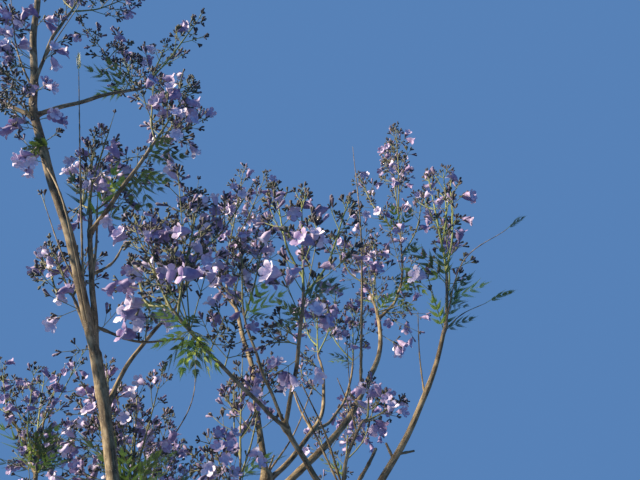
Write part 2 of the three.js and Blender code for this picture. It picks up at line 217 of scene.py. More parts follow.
# Large flowers: their colour, where they face and their size beside a plain one. Colour 2, the palest, is
# partly a painted highlight; colour 1, the deepest, is partly painted shade.
LARGE_FLOWERS = {
    "flower": (2, (-0.78, -0.6, -0.15), 1.4),
    "dusky_flower": (1, (-0.78, -0.6, -0.15), 1.4),
    "pale_flower": (2, (-0.5, -0.82, -0.25), 1.85),
}
SPRIG_STEP = 0.045
SPRIG_SEED = 700
SPRIG_HEIGHT = 0.3
FREE_BLOOM_HEIGHT = 0.6
FREE_RACHIS_RADIUS = 0.0022
FREE_START = 0.25
FREE_TURN = 9
FREE_REACH = 0.75
FREE_SHRINK = 0.4
FREE_UNEVENNESS = (0.7, 1)
FACING_SWING = 0.25
WHIP_TIP_REACH = 0.08

# Painted shade: beyond this far to the back, away from the low light, most flowers are of the deepest
# colour.
FAR_SIDE = 0.35
FAR_PAINTED_SHADE_SHARE = 0.7
PAINTED_SHADE_TONE = 1

# Side panicles on the boughs that are wholly or mostly out of the picture.
SIDE_BOUGHS = (
    "back_bough", "back_left_bough", "back_left_side", "low_right_bough", "low_right_front",
    "low_right_back", "left_side", "left_front", "left_inner",
)
SIDE_START = 0.5
SIDE_STEP = 0.12
SIDE_LEAN = 0.9
SIDE_LIFT = 0.35
SIDE_REACH = (0.17, 0.28)
SIDE_SEED = 800

# Leaves.
PINNA_PAIRS = 4
PINNA_ANGLE = 0.85
PINNA_REACH = 1.85
PINNA_START = 0.24
PINNA_SPAN = 0.74
PINNA_CLOSING = 0.35
PINNA_SWING = 0.1
PINNA_TILT = 0.12
END_PINNA = 0.7
LEAFLET_STEP = 0.0048
LEAFLET_LENGTH = 0.0125
LEAFLET_LEAN = 0.68
LEAFLET_WIDTH = 0.0058
LEAFLET_LIFT = 0.1
LEAF_STALK_RADIUS = 0.0012
LEAF_ARCH = 0.07
LEAF_ROOM = 0.02
PINNA_RADIUS = 0.0006
PINNA_TIP_RADIUS = 0.0004
PINNA_DROOP = 0.08
LEAFLET_MIDDLE = 0.45
TIP_LEAF_SPREAD = 0.45
LEAF_LOOKS = ("leaf_bright", "leaf_mid", "leaf_deep")
TUFT = (0, -0.6, 0.65)
SPRIG_TUFT = (0, -0.7, 0.75)
TUFT_LIFT = 0.4
TUFT_SHRINK = 0.3
MIDDLE_LEAF = 0.85
SIDE_LEAF = (0.5, 0.75)
SIDE_LEAF_LIFT = 0.1

# The camera that took the picture.
CAMERA_AT = (0.210, -1.660, 1.550)
CAMERA_PITCH = 50
IMAGE_WIDTH = 640
FOCAL_PIXELS = 580
SENSOR_WIDTH = 36
NEAREST_SEEN = 0.05

FLOOR_RADIUS = 1.7
FLOOR_DROP = 0.001
BACKDROP_COLOUR = (0.19, 0.44, 0.95, 1)
BACKDROP_STRENGTH = 0.5
SUN_STRENGTH = 8.8
SUN_SOFTNESS = 8
SUN_COLOUR = (1.0, 0.86, 0.68)

UP = np.array([0.0, 0.0, 1.0])
DOWN = -UP
SUNWARD = np.array([-0.87, -0.38, 0.30])


@dataclass
class Limb:
    """Grows on another limb at a share of its length: heading and rise in degrees, its length,
    how far it sags below its chord and drifts to the side, and its radius at foot and tip."""

    name: str
    on: str
    share: float
    heading: float
    rise: float
    length: float
    sag: float
    drift: float
    foot: float
    tip: float

    def place(self, index, parent):
        self.index = index
        self.parent = parent
        self.chord = pointing(self.heading, self.rise)
        self.side, rear = square_axes(self.chord)
        self.under = -rear if rear[2] > 0 else rear
        self.base = parent.point(self.share) if parent else np.zeros(3)
        self.carries_on = bool(parent) and self.share > CARRY_ON_SHARE and self.foot >= parent.tip
        self.collar = 0 if self.carries_on else COLLAR

    def point(self, t):
        t = np.asarray(t, float)[..., None]
        arch = 4 * t * (1 - t)
        sway = WIGGLE * self.length * np.sin(math.pi * t)
        phase = WIGGLE_PHASE * self.index
        drop = arch * self.sag + sway * np.sin(WIGGLE_DOWN * t + 2 * phase)
        drift = arch * self.drift + sway * np.sin(WIGGLE_ASIDE * t + phase)
        return self.base + self.chord * self.length * t + self.under * drop + self.side * drift

    def direction(self, t):
        t = np.asarray(t, float)
        step = 0.01
        run = self.point(np.minimum(t + step, 1)) - self.point(np.maximum(t - step, 0))
        return run / np.linalg.norm(run, axis=-1, keepdims=True)

    def radius(self, t):
        t = np.asarray(t, float)
        taper = self.tip + (self.foot - self.tip) * (1 - t) ** TAPER
        from_foot = t * self.length / (COLLAR_REACH * self.foot)
        return taper + self.collar * self.foot * np.exp(-from_foot * from_foot)


@dataclass
class Mass:
    """Stands on a limb's tip: heading and rise of its stem in degrees, its height, its side
    shoots, how far they splay in degrees, its leaves, how freely it flowers, how large its buds
    are and how close its stalks stand."""

    on: str
    heading: float
    rise: float
    height: float
    shoots: int
    splay: float
    leaves: int
    bloom: float = 1.0
    vigour: float = 1.0
    fullness: float = 1.0
    balls: list = field(default_factory=list)

    def place(self, index, limb):
        self.index = index
        self.limb = limb
        self.foot = limb.point(1)
        self.aim = pointing(self.heading, self.rise)
        self.heart = self.foot + self.aim * self.height * HEART_SHARE
        self.tangent = limb.direction(1)
        self.panicle = min(MAIN_PANICLE, self.height * PANICLE_SHARE)
        self.side_panicle = min(SIDE_PANICLE, self.height * PANICLE_SHARE)
        self.spray = min(SPRAY_LENGTH, self.height * SPRAY_SHARE)


# A thin twig on a limb: heading and rise in degrees, its length, how far its middle bows up and
# sways aside as shares of its length, its radius at foot and tip, and what its tip bears.
Whip = namedtuple("Whip", "on share heading rise length bow sway foot tip bears", defaults=("",))

LIMB_ROWS = (
    Limb("trunk", None, 0, 18.4, 87.0, 1.202, 0, 0.012, 0.066, 0.054),
    Limb("left_stem", "trunk", 0.93, -157.9, 69.8, 1.62, -0.01, -0.015, 0.021, 0.0175),
    Limb("left_leader", "left_stem", 0.98, -126.6, 53.2, 1.052, 0.006, 0.03, 0.0175, 0.016),
    Limb("left_top", "left_leader", 0.98, -109.3, 61.3, 0.92, -0.04, -0.035, 0.016, 0.0085),
    Limb("centre_stem", "trunk", 0.97, 98.0, 81.3, 1.408, 0.03, 0.01, 0.027, 0.018),
    Limb("right_stem", "trunk", 0.9, 25.6, 78.8, 1.367, 0.04, 0, 0.026, 0.017),
    Limb("low_right_bough", "trunk", 0.82, 10.0, 39.9, 1.677, 0.11, 0, 0.025, 0.011),
    Limb("back_bough", "trunk", 0.87, 76.0, 58.7, 2.231, 0.15, 0, 0.024, 0.01),
    Limb("back_left_bough", "trunk", 0.79, 146.9, 56.1, 2.246, 0.1, 0, 0.023, 0.01),
    Limb("left_twin", "left_stem", 0.97, -112.5, 58.4, 0.554, 0.009, -0.003, 0.0115, 0.008),
    Limb("left_twin_right", "left_twin", 0.96, -47.6, 27.4, 0.322, -0.003, 0.001, 0.0085, 0.006),
    Limb("left_low_right", "left_stem", 0.92, -25.5, 69.5, 0.368, -0.06, 0.01, 0.009, 0.006),
    Limb("left_high_right", "left_leader", 0.96, 3.6, 40.8, 0.383, -0.005, -0.006, 0.0088, 0.0065),
    Limb("left_high", "left_top", 0.15, -70.7, 67.3, 0.373, 0.035, 0, 0.007, 0.0055),
    Limb("left_low", "left_leader", 0.12, -134.3, 48.4, 0.14, 0, 0, 0.0065, 0.0055),
    Limb("left_side", "left_leader", 0.96, -169.1, 37.7, 0.439, 0.04, 0, 0.009, 0.0065),
    Limb("left_front", "left_top", 0.72, -50.3, 6.0, 0.853, 0.05, 0, 0.009, 0.006),
    Limb("left_inner", "left_stem", 0.56, 120.1, 55.1, 0.637, 0.03, 0, 0.01, 0.0065),
    Limb("centre_left_bough", "centre_stem", 0.97, 178.9, 75.5, 0.954, -0.028, 0.091, 0.0125, 0.0075),
    Limb("centre_right_bough", "centre_stem", 0.93, 8.6, 63.8, 1.013, 0.127, -0.093, 0.014, 0.0085),
    Limb("centre_right_top", "centre_right_bough", 0.95, 0.4, 64.6, 0.32, 0.027, 0.014, 0.0075, 0.006),
    Limb("centre_back_bough", "centre_stem", 0.98, 58.4, 65.0, 0.821, 0.053, -0.073, 0.011, 0.006),
    Limb("centre_back_right", "centre_back_bough", 0.39, 58.6, 55.3, 0.616, 0.059, 0.004, 0.0075, 0.0055),
    Limb("centre_low", "centre_stem", 0.6, -121.7, 74.2, 0.415, 0.025, 0, 0.009, 0.006),
    Limb("right_left_bough", "right_stem", 0.97, -130.8, 30.7, 0.34, 0.003, -0.013, 0.011, 0.0085),
    Limb("right_left_low", "right_left_bough", 0.95, -120.4, 3.9, 0.478, 0.018, 0.006, 0.007, 0.0055),
    Limb("right_left_mid", "right_left_bough", 0.92, -142.2, 59.7, 0.344, -0.001, -0.007, 0.0062, 0.005),
    Limb("right_left_top", "right_left_bough", 0.97, -81.6, 14.2, 0.391, 0.013, 0.004, 0.0075, 0.0058),
    Limb("right_mid_bough", "right_stem", 0.96, -76.1, 50.9, 0.25, 0.004, -0.024, 0.008, 0.005),
    Limb("right_far_bough", "right_stem", 0.93, -49.0, 43.2, 0.679, 0.012, 0.045, 0.0135, 0.0075),
    Limb("low_right_front", "low_right_bough", 0.62, -65.3, 42.1, 1.832, 0.19, 0, 0.014, 0.007),
    Limb("low_right_back", "low_right_bough", 0.75, 67.9, 38.6, 0.957, 0.08, 0, 0.011, 0.0065),
    Limb("back_left_side", "back_bough", 0.62, 163.0, 37.1, 1.136, 0.09, 0, 0.011, 0.0065),
)

MASS_ROWS = (
    Mass("left_top", -129, 83, 0.515, 3, 42, 1, 0.7),
    Mass("left_twin", -124, 66, 0.43, 3, 42, 1, 1.3),
    Mass("left_twin_right", -37, 66, 0.33, 3, 44, 1, 1.1),
    Mass("left_low_right", -98, 72, 0.6, 3, 42, 1, 1.0),
    Mass("left_high_right", -70, 84, 0.445, 3, 60, 1, 0.2, 1, 0.8),
    Mass("left_high", -100, 81, 0.38, 2, 50, 0, 0.5),
    Mass("left_low", -167, 48, 0.3, 2, 45, 0, 0.7),
    Mass("left_side", -110, 66, 0.48, 3, 50, 1, 0.9, 1, 1.3),
    Mass("left_front", -76, 56, 0.52, 3, 50, 1, 1.0, 1, 1.3),
    Mass("left_inner", 180, 75, 0.47, 3, 45, 1, 1.0, 1, 0.75),
    Mass("centre_left_bough", -77, 66, 0.79, 4, 46, 1, 1.7),
    Mass("centre_right_bough", -136, 61, 0.55, 2, 36, 1, 1.2),
    Mass("centre_right_top", -97, 71, 0.885, 4, 30, 2, 0.6, 1, 1.15),
    Mass("centre_back_bough", -124, 88, 0.45, 2, 38, 0, 1.3),
    Mass("centre_back_right", 50, 86, 0.5, 2, 38, 1, 0.9),
    Mass("centre_low", -171, 84, 0.564, 3, 34, 1, 0.6),
    Mass("right_left_low", -155, 48, 0.43, 2, 40, 2, 0.9, 1, 1.2),
    Mass("right_left_mid", -159, 81, 0.48, 2, 36, 1, 1.2, 1, 1.2),
    Mass("right_left_top", -101, 77, 0.48, 2, 30, 1, 0.8, 1.15, 1.0),
    Mass("right_mid_bough", 28, 24, 0.205, 1, 45, 0, 1.6),
    Mass("right_far_bough", -92, 79, 0.7, 3, 20, 2, 0.6, 1, 0.6),
    Mass("low_right_bough", -4, 52, 0.6, 3, 55, 1, 1.0, 1, 1.3),
    Mass("low_right_front", -84, 70, 0.68, 3, 55, 1, 1.0, 1, 1.3),
    Mass("low_right_back", 34, 63, 0.56, 3, 56, 1, 1.0, 1, 1.3),
    Mass("back_bough", 69, 76, 0.7, 3, 55, 1, 1.0, 1, 1.3),
    Mass("back_left_bough", 175, 70, 0.6, 4, 62, 2, 1.3, 1, 0.75),
    Mass("back_left_side", 165, 78, 0.48, 3, 60, 1, 1.4, 1, 1.2),
)

WHIP_ROWS = (
    Whip("right_stem", 1, -158, 68, 0.426, 0, 0.06, 0.0042, 0.0022),
    Whip("right_stem", 1, -153, 61, 0.394, 0, 0, 0.0036, 0.002),
    Whip("right_mid_bough", 1, 154, 75, 0.24, 0, -0.12, 0.003, 0.0015),
    Whip("right_mid_bough", 1, 127, 86, 0.399, -0.18, -0.14, 0.0026, 0.0012),
    Whip("centre_right_bough", 0.48, -88, 75, 1.282, -0.08, 0.01, 0.006, 0.001),
    Whip("right_far_bough", 0.69, -84, 75, 0.299, 0.07, 0, 0.003, 0.0012),
    Whip("right_far_bough", 0.4, -3, 10, 0.055, 0, 0, 0.004, 0.0032),
    Whip("right_far_bough", 0.37, -146, 63, 0.055, 0, 0, 0.0045, 0.0038),
    Whip("right_stem", 1, 25, 59, 0.24, 0, -0.11, 0.0065, 0.0055),
    Whip("left_inner", 1, 68, 75, 0.734, 0, -0.12, 0.003, 0.0012),
    Whip("back_left_bough", 1, 164, 82, 0.607, -0.05, 0.01, 0.007, 0.0016),
    Whip("back_left_bough", 1, -176, 50, 0.414, 0.04, -0.05, 0.009, 0.005),
    Whip("back_left_bough", 1, 77, 66, 0.216, 0, 0, 0.006, 0.004),
    Whip("left_leader", 0.27, -111, 61, 0.897, -0.04, 0.03, 0.004, 0.0012, "tip_leaf"),
    Whip("left_leader", 0.18, -126, 51, 0.629, -0.21, 0.28, 0.0045, 0.002, "bloom"),
    Whip("left_twin", 0.62, -103, 64, 0.291, 0.03, 0, 0.0045, 0.003, "bloom"),
    Whip("left_twin", 0.69, 45, 73, 0.206, -0.09, 0, 0.005, 0.003, "buds"),
    Whip("left_top", 0.11, -142, 60, 0.565, -0.01, -0.06, 0.004, 0.0015, "buds"),
    Whip("left_high", 0.26, -52, 46, 0.219, 0, -0.01, 0.0026, 0.0014, "buds"),
    Whip("centre_stem", 1, -28, 70, 0.069, 0, 0, 0.0035, 0.0028),
    Whip("centre_stem", 1, 56, 63, 0.638, -0.07, 0.04, 0.004, 0.002),
    Whip("centre_back_bough", 0.38, 136, 64, 0.264, -0.03, 0, 0.005, 0.003),
    Whip("centre_left_bough", 0.82, -170, 50, 0.179, 0, 0, 0.005, 0.003, "bloom"),
    Whip("left_low_right", 0.99, -159, 77, 0.227, 0.04, 0, 0.005, 0.0025, "buds"),
    Whip("left_leader", 0.27, -145, 53, 0.374, -0.05, 0.05, 0.003, 0.0012, "buds"),
    Whip("left_twin", 0.38, 24, 9, 0.267, -0.13, 0, 0.005, 0.0035),
    Whip("right_far_bough", 1, -16, 29, 0.174, 0.09, 0, 0.0022, 0.0009, "tip_leaf"),
    Whip("right_far_bough", 1, -37, 45, 0.422, 0, -0.22, 0.0026, 0.0009, "tip_leaf"),
)

# Short growths straight on a limb: share of its length, heading and rise in degrees, reach and kind.
SPRIG_ROWS = (
    ("left_leader", (
        (0.94, -10, 12, 0.065, "bloom"), (0.84, -31, 12, 0.073, "buds"), (0.9, -140, -35, 0.074, "bloom"),
        (0.76, -140, -25, 0.068, "bloom"), (0.82, -141, -30, 0.059, "leaf"),
    )),
    ("left_top", (
        (0.1, -33, -3, 0.066, "bloom"), (0.04, -159, -5, 0.094, "buds"), (0.14, -152, -2, 0.104, "buds"),
        (0.46, -41, 12, 0.061, "bloom"), (0.42, -121, 13, 0.068, "bloom"), (0.29, -139, 13, 0.136, "bloom"),
        (0.24, -142, 3, 0.11, "buds"),
    )),
    ("left_high", (
        (0.26, -37, 13, 0.06, "bloom"), (0.71, -81, 42, 0.063, "buds"), (0.47, 0, 41, 0.074, "buds"),
    )),
    ("left_high_right", (
        (1, -159, 45, 0.22, "buds"), (1, -147, 43, 0.384, "panicle"), (0.92, -152, 22, 0.144, "leaf"),
    )),
    ("left_twin_right", ((1, 6, 27, 0.107, "leaf"), (0.79, 64, 8, 0.126, "leaf"))),
    ("left_twin", ((1, -62, 70, 0.209, "leaf"),)),
    ("left_twin_right", ((1, 179, -21, 0.083, "bloom"),)),
    ("left_low_right", ((0.76, -75, -8, 0.141, "pale_flower"),)),
    ("left_inner", ((1, -137, 37, 0.205, "leaf"), (1, -47, 61, 0.123, "leaf"))),
    ("left_top", ((0.1, -115, -23, 0.131, "panicle"),)),
    ("left_leader", ((0.9, -117, -21, 0.135, "panicle"),)),
    ("left_high_right", ((1, -126, 54, 0.251, "panicle"), (0.91, -57, 55, 0.141, "buds"))),
    ("left_twin_right", (
        (0.79, 80, -2, 0.131, "leaf"), (0.46, 114, -22, 0.091, "bloom"), (0.65, 71, -5, 0.165, "bloom"),
    )),
    ("left_low", ((1, -145, 4, 0.092, "bloom"), (1, 179, -33, 0.068, "bloom"))),
    ("left_leader", ((0.12, -155, -26, 0.093, "buds"), (0.15, -14, 63, 0.123, "buds"))),
    ("left_inner", (
        (1, -155, 52, 0.424, "panicle"), (1, -162, 38, 0.3, "full_panicle"),
        (1, -128, 60, 0.315, "full_panicle"), (1, -169, 9, 0.251, "leaf"), (1, -167, 38, 0.263, "leaf"),
    )),
    ("left_top", ((0.1, -126, -30, 0.089, "panicle"),)),
    ("left_leader", ((0.94, -111, -4, 0.11, "panicle"), (0.77, -126, 2, 0.107, "buds"))),
    ("left_inner", ((1, -170, 15, 0.216, "full_panicle"),)),
    ("left_low_right", ((0.76, -74, -2, 0.191, "flower"), (0.76, -81, -34, 0.112, "dusky_flower"))),
    ("left_inner", ((1, -167, 10, 0.197, "bright_leaf"), (1, -170, 26, 0.121, "leaf"))),
    ("left_leader", ((0.82, -109, -31, 0.046, "bright_leaf"),)),
    ("left_twin_right", ((0.5, -147, 56, 0.063, "bright_leaf"),)),
    ("left_top", ((0.29, -142, -2, 0.09, "bloom"), (0.24, -145, -29, 0.078, "panicle"))),
    ("left_inner", ((1, -152, 45, 0.374, "full_panicle"),)),
    ("centre_right_top", ((1, 130, -48, 0.087, "leaf"), (1, 20, -28, 0.124, "leaf"))),
    ("centre_right_bough", ((1, -26, 17, 0.147, "leaf"),)),
    ("centre_low", (
        (1, -120, 19, 0.158, "bloom"), (1, -78, 37, 0.138, "bloom"), (1, -120, 55, 0.18, "bloom"),
        (1, -151, 31, 0.182, "panicle"), (1, -137, 45, 0.215, "full_panicle"),
    )),
    ("centre_right_bough", ((1, -107, 54, 0.486, "full_panicle"), (0.94, -96, 44, 0.355, "full_panicle"))),
    ("centre_right_top", ((1, -112, 51, 0.322, "full_panicle"), (0.46, -55, 43, 0.222, "panicle"))),
    ("centre_right_bough", (
        (1, -16, -17, 0.226, "bloom"), (1, -1, -35, 0.21, "bloom"), (0.84, -6, -44, 0.095, "bloom"),
        (1, -26, -2, 0.131, "panicle"),
    )),
    ("centre_right_top", ((0.52, 1, -31, 0.09, "leaf"),)),
    ("centre_back_bough", ((0.9, -155, 28, 0.113, "panicle"), (0.66, -151, 33, 0.143, "panicle"))),
    ("right_left_low", (
        (1, -174, -60, 0.12, "leaf"), (1, 25, -35, 0.115, "leaf"), (1, -119, -31, 0.11, "leaf"),
        (0.98, 7, -75, 0.12, "leaf"), (1, -71, 25, 0.16, "dusky_flower"),
    )),
    ("right_left_top", (
        (1, -113, 25, 0.14, "flower"), (1, -75, 43, 0.211, "dusky_flower"), (0.96, -148, 27, 0.081, "leaf"),
    )),
    ("right_far_bough", ((1, -56, 44, 0.12, "leaf"), (1, -113, 54, 0.179, "flower"))),
    ("right_left_low", (
        (1, -127, 40, 0.355, "panicle"), (1, -121, 52, 0.352, "full_panicle"),
        (1, -106, 58, 0.473, "full_panicle"), (0.82, 10, 80, 0.128, "panicle"),
        (0.68, -17, 83, 0.139, "panicle"),
    )),
    ("right_left_top", (
        (0.84, -161, 34, 0.093, "panicle"), (0.68, 137, -6, 0.079, "bloom"),
        (0.76, 43, -19, 0.069, "bloom"), (0.92, -15, 39, 0.075, "bloom"),
    )),
    ("right_left_low", ((0.91, -117, -48, 0.071, "bright_leaf"),)),
    ("right_left_top", ((0.8, -177, 17, 0.098, "panicle"),)),
    ("back_left_bough", (
        (1, -65, 63, 0.132, "leaf"), (1, -127, 38, 0.233, "leaf"), (1, -3, 45, 0.139, "leaf"),
        (1, -142, 54, 0.472, "panicle"), (1, 76, 70, 0.301, "full_panicle"),
        (1, -179, 37, 0.167, "full_panicle"),
    )),
    ("back_left_side", (
        (1, -35, 71, 0.3, "panicle"), (1, 0, 49, 0.317, "full_panicle"), (1, -153, 46, 0.268, "leaf"),
    )),
    ("back_left_bough", (
        (1, 31, 39, 0.176, "panicle"), (1, -172, 68, 0.188, "full_panicle"),
        (1, -39, 80, 0.133, "bright_leaf"),
    )),
    ("back_left_side", ((1, -20, 74, 0.215, "leaf"), (1, 7, 44, 0.27, "leaf"))),
)

# The crown's parts, which their limbs' names start with, so that no piece grows too heavy.
CROWN_PARTS = ("left", "centre", "right", "low", "back")


def stream(seed):
    """The source's repeatable numbers from 0 to 1."""
    state = (seed * 2654435761) & 0xFFFFFFFF
    while True:
        state = (state * 1664525 + 1013904223) & 0xFFFFFFFF
        yield state / 4294967296


def unit(vector):
    return vector / np.linalg.norm(vector)


def pointing(heading, rise):
    turn = math.radians(heading)
    tilt = math.radians(rise)
    flat = math.cos(tilt)
    return np.array([flat * math.cos(turn), flat * math.sin(turn), math.sin(tilt)])


def toward(start, end, share):
    return unit(start + (end - start) * share)


def square_axes(direction):
    """A direction's own two square axes, the first of them level."""
    side = np.cross(UP, direction)
    if side @ side < 1e-12:
        side = np.array([1.0, 0.0, 0.0])
    side = unit(side)
    return side, np.cross(direction, side)


def leaned(direction, angle, turn):
    """A direction leaned by an angle, turned about the first one."""
    side, rear = square_axes(direction)
    level = math.sin(angle) * math.cos(turn)
    upright = math.sin(angle) * math.sin(turn)
    return direction * math.cos(angle) + side * level + rear * upright


# Growth, as in the CAD source.


@dataclass
class Tree:
    """The placed limbs and masses, and the limbs' runs as segments to keep clear of."""

    limbs: dict
    masses: tuple
    starts: np.ndarray
    runs: np.ndarray
    radii: np.ndarray


def place_limbs():
    placed = {}
    for index, limb in enumerate(LIMB_ROWS):
        limb.place(index, placed.get(limb.on))
        placed[limb.name] = limb
    return placed


def place_tree():
    limbs = place_limbs()
    for index, mass in enumerate(MASS_ROWS):
        mass.place(index, limbs[mass.on])
    starts, runs, radii = [], [], []
    for limb in limbs.values():
        count = max(4, round(limb.length / LIMB_SEGMENT))
        shares = np.arange(count + 1) / count
        points = limb.point(shares)
        starts.append(points[:-1])
        runs.append(points[1:] - points[:-1])
        radii.append(limb.radius(shares[:-1]))
    segments = [np.concatenate(values) for values in (starts, runs, radii)]
    tree = Tree(limbs, MASS_ROWS, *segments)
    for mass in tree.masses:
        mass.tree = tree
    return tree


def inside_own_space(point, mass):
    for other in mass.tree.masses:
        if other is mass:
            continue
        apart = np.linalg.norm(other.heart - mass.heart)
        to_other = point - other.heart
        to_own = point - mass.heart
        if (to_other @ to_other - to_own @ to_own) / (2 * apart) <= SPACE_MARGIN:
            return False
    return True


def off_segments(points, starts, runs):
    """What leads to each point from the nearest place on each segment, and that place's share."""
    offset = points[:, None] - starts
    share = np.clip((offset * runs).sum(-1) / (runs * runs).sum(-1), 0, 1)
    return offset - share[..., None] * runs, share


def clear_of_limbs(start, end, half_width, tree, clearance):
    steps = max(2, math.ceil(np.linalg.norm(end - start) / CHECK_STEP))
    points = start + (end - start) * np.linspace(0, 1, steps + 1)[:, None]
    away, _ = off_segments(points, tree.starts, tree.runs)
    return bool((np.linalg.norm(away, axis=-1) >= tree.radii + half_width + clearance).all())


def fits(start, end, half_width, mass, clearance=LIMB_CLEARANCE):
    """Both ends, thickened by the half width, stay in the mass's space, and it clears limbs."""
    side, rear = square_axes(unit(end - start))
    widest = start + (end - start) * SPRAY_WIDEST
    corners = [start, end]
    for axis in (side, rear):
        corners += [widest + axis * half_width, widest - axis * half_width]
    if not all(inside_own_space(corner, mass) for corner in corners):
        return False
    return clear_of_limbs(start, end, half_width, mass.tree, clearance)


def balls_of(start, end, half_width, profile):
    return [(start + (end - start) * share, half_width * fullness) for share, fullness in profile]


def clear_of_others(balls, mass):
    if not mass.balls:
        return True
    centres = np.array([centre for centre, _ in mass.balls])
    radii = np.array([radius for _, radius in mass.balls])
    for centre, radius in balls:
        if (np.linalg.norm(centres - centre, axis=1) < radii + radius).any():
            return False
    return True


def claim(root, tip, half_width, mass):
    """Takes a spray's or leaf's room in its mass, if it is free."""
    balls = balls_of(root, tip, half_width, SPRAY_PROFILE)
    if not fits(root, tip, half_width, mass) or not clear_of_others(balls, mass):
        return False
    mass.balls += balls
    return True


def claim_sprays(foot, direction, length, pairs, mass):
    """Takes the room of the source's sprays up a rachis: one at its tip, and opposite pairs."""
    claim_spray(foot + direction * (length - TIP_SPRAY_DEPTH), direction, mass.spray * TIP_SPRAY, mass)
    for pair in range(pairs):
        share = (pair + PAIR_START) / pairs
        root = foot + direction * (length * share * RACHIS_SHARE)
        for half in (0, math.pi):
            turn = half + pair * math.pi / 2 + mass.index
            lean = leaned(direction, SPRAY_ANGLE - SPRAY_CLOSING * share, turn)
            claim_spray(root, lean, mass.spray * (1 - SPRAY_SHRINK * share), mass)


def claim_spray(root, direction, reach, mass):
    tip = root + toward(direction, UP, SPRAY_LIFT) * reach
    claim(root, tip, reach * SPRAY_FULLNESS, mass)


def seed_of(mass, number):
    return mass.index * 1000 + number * 20


def find_shoot(root, number, mass):
    """A shoot's knee, end, top and rising direction: it is tried at new headings until it fits."""
    for attempt in range(SHOOT_TRIES):
        random = stream(1 + seed_of(mass, number) + attempt)
        turn = number * GOLDEN_ANGLE + attempt * SHOOT_TURN + next(random)
        splay = math.radians(mass.splay) * (SHOOT_SPLAYS[0] + SHOOT_SPLAYS[1] * next(random))
        length = mass.height * (SHOOT_LENGTHS[0] + SHOOT_LENGTHS[1] * next(random))
        start = leaned(mass.aim, splay, turn)
        knee = root + start * length * 0.5
        end = knee + toward(start, UP, SHOOT_LIFT) * length * 0.5
        rising = toward(start, UP, 2 * SHOOT_LIFT)
        top = end + rising * mass.side_panicle
        runs = ((root + start * SHOOT_START, knee), (knee, end), (end, top))
        balls = [ball for run in runs for ball in balls_of(*run, SHOOT_RADIUS, RUN_PROFILE)]
        fit = all(fits(*run, SHOOT_RADIUS, mass) for run in runs)
        if fit and clear_of_others(balls, mass):
            mass.balls += balls
            return knee, end, top, rising
    return None


def find_leaf(root, number, mass):
    random = stream(7 + seed_of(mass, number))
    for attempt in range(SHOOT_TRIES):
        turn = number * LEAF_TURN + attempt * LEAF_RETRY_TURN + 2 * next(random)
        tip = root + leaned(mass.aim, LEAF_LEAN, turn) * LEAF_LENGTH
        if claim(root, tip, LEAF_LENGTH * LEAF_FULLNESS, mass):
            return tip
    return None


@dataclass
class Growth:
    """What grows in a mass: its stem's joints, its shoots' joints, panicles and leaves."""

    stem: list
    shoots: list
    panicles: list
    leaves: list


def grow_mass(mass):
    foot = mass.foot + mass.tangent * LIMB_GAP
    neck = foot + mass.tangent * NECK
    rest = max(mass.height - NECK - mass.panicle - mass.spray * TIP_SPRAY_ROOM, SHORTEST_STEM)
    bend = neck + toward(mass.tangent, mass.aim, STEM_BEND) * rest / 2
    end = bend + mass.aim * rest / 2
    rising = toward(mass.aim, UP, PANICLE_LIFT)
    top = end + rising * mass.panicle
    growth = Growth([foot, neck, bend, end, top], [], [(end, rising, mass.panicle)], [])
    claim_sprays(end, rising, mass.panicle, MAIN_PAIRS, mass)
    mass.balls += balls_of(bend, end, SHOOT_RADIUS, RUN_PROFILE)
    for number in range(mass.shoots):
        share = 2 * (number + 0.5) / mass.shoots
        root = neck + (bend - neck) * share if share < 1 else bend + (end - bend) * (share - 1)
        found = find_shoot(root, number, mass)
        if found:
            knee, shoot_end, shoot_top, shoot_rising = found
            growth.shoots.append([root, knee, shoot_end, shoot_top])
            growth.panicles.append((shoot_end, shoot_rising, mass.side_panicle))
            claim_sprays(shoot_end, shoot_rising, mass.side_panicle, SIDE_PAIRS, mass)
    for number in range(mass.leaves):
        root = neck + (bend - neck) * (LEAF_PLACES[0] + LEAF_PLACES[1] * number)
        tip = find_leaf(root, number, mass)
        if tip is not None:
            growth.leaves.append((root, tip))
    return growth


# Meshes.


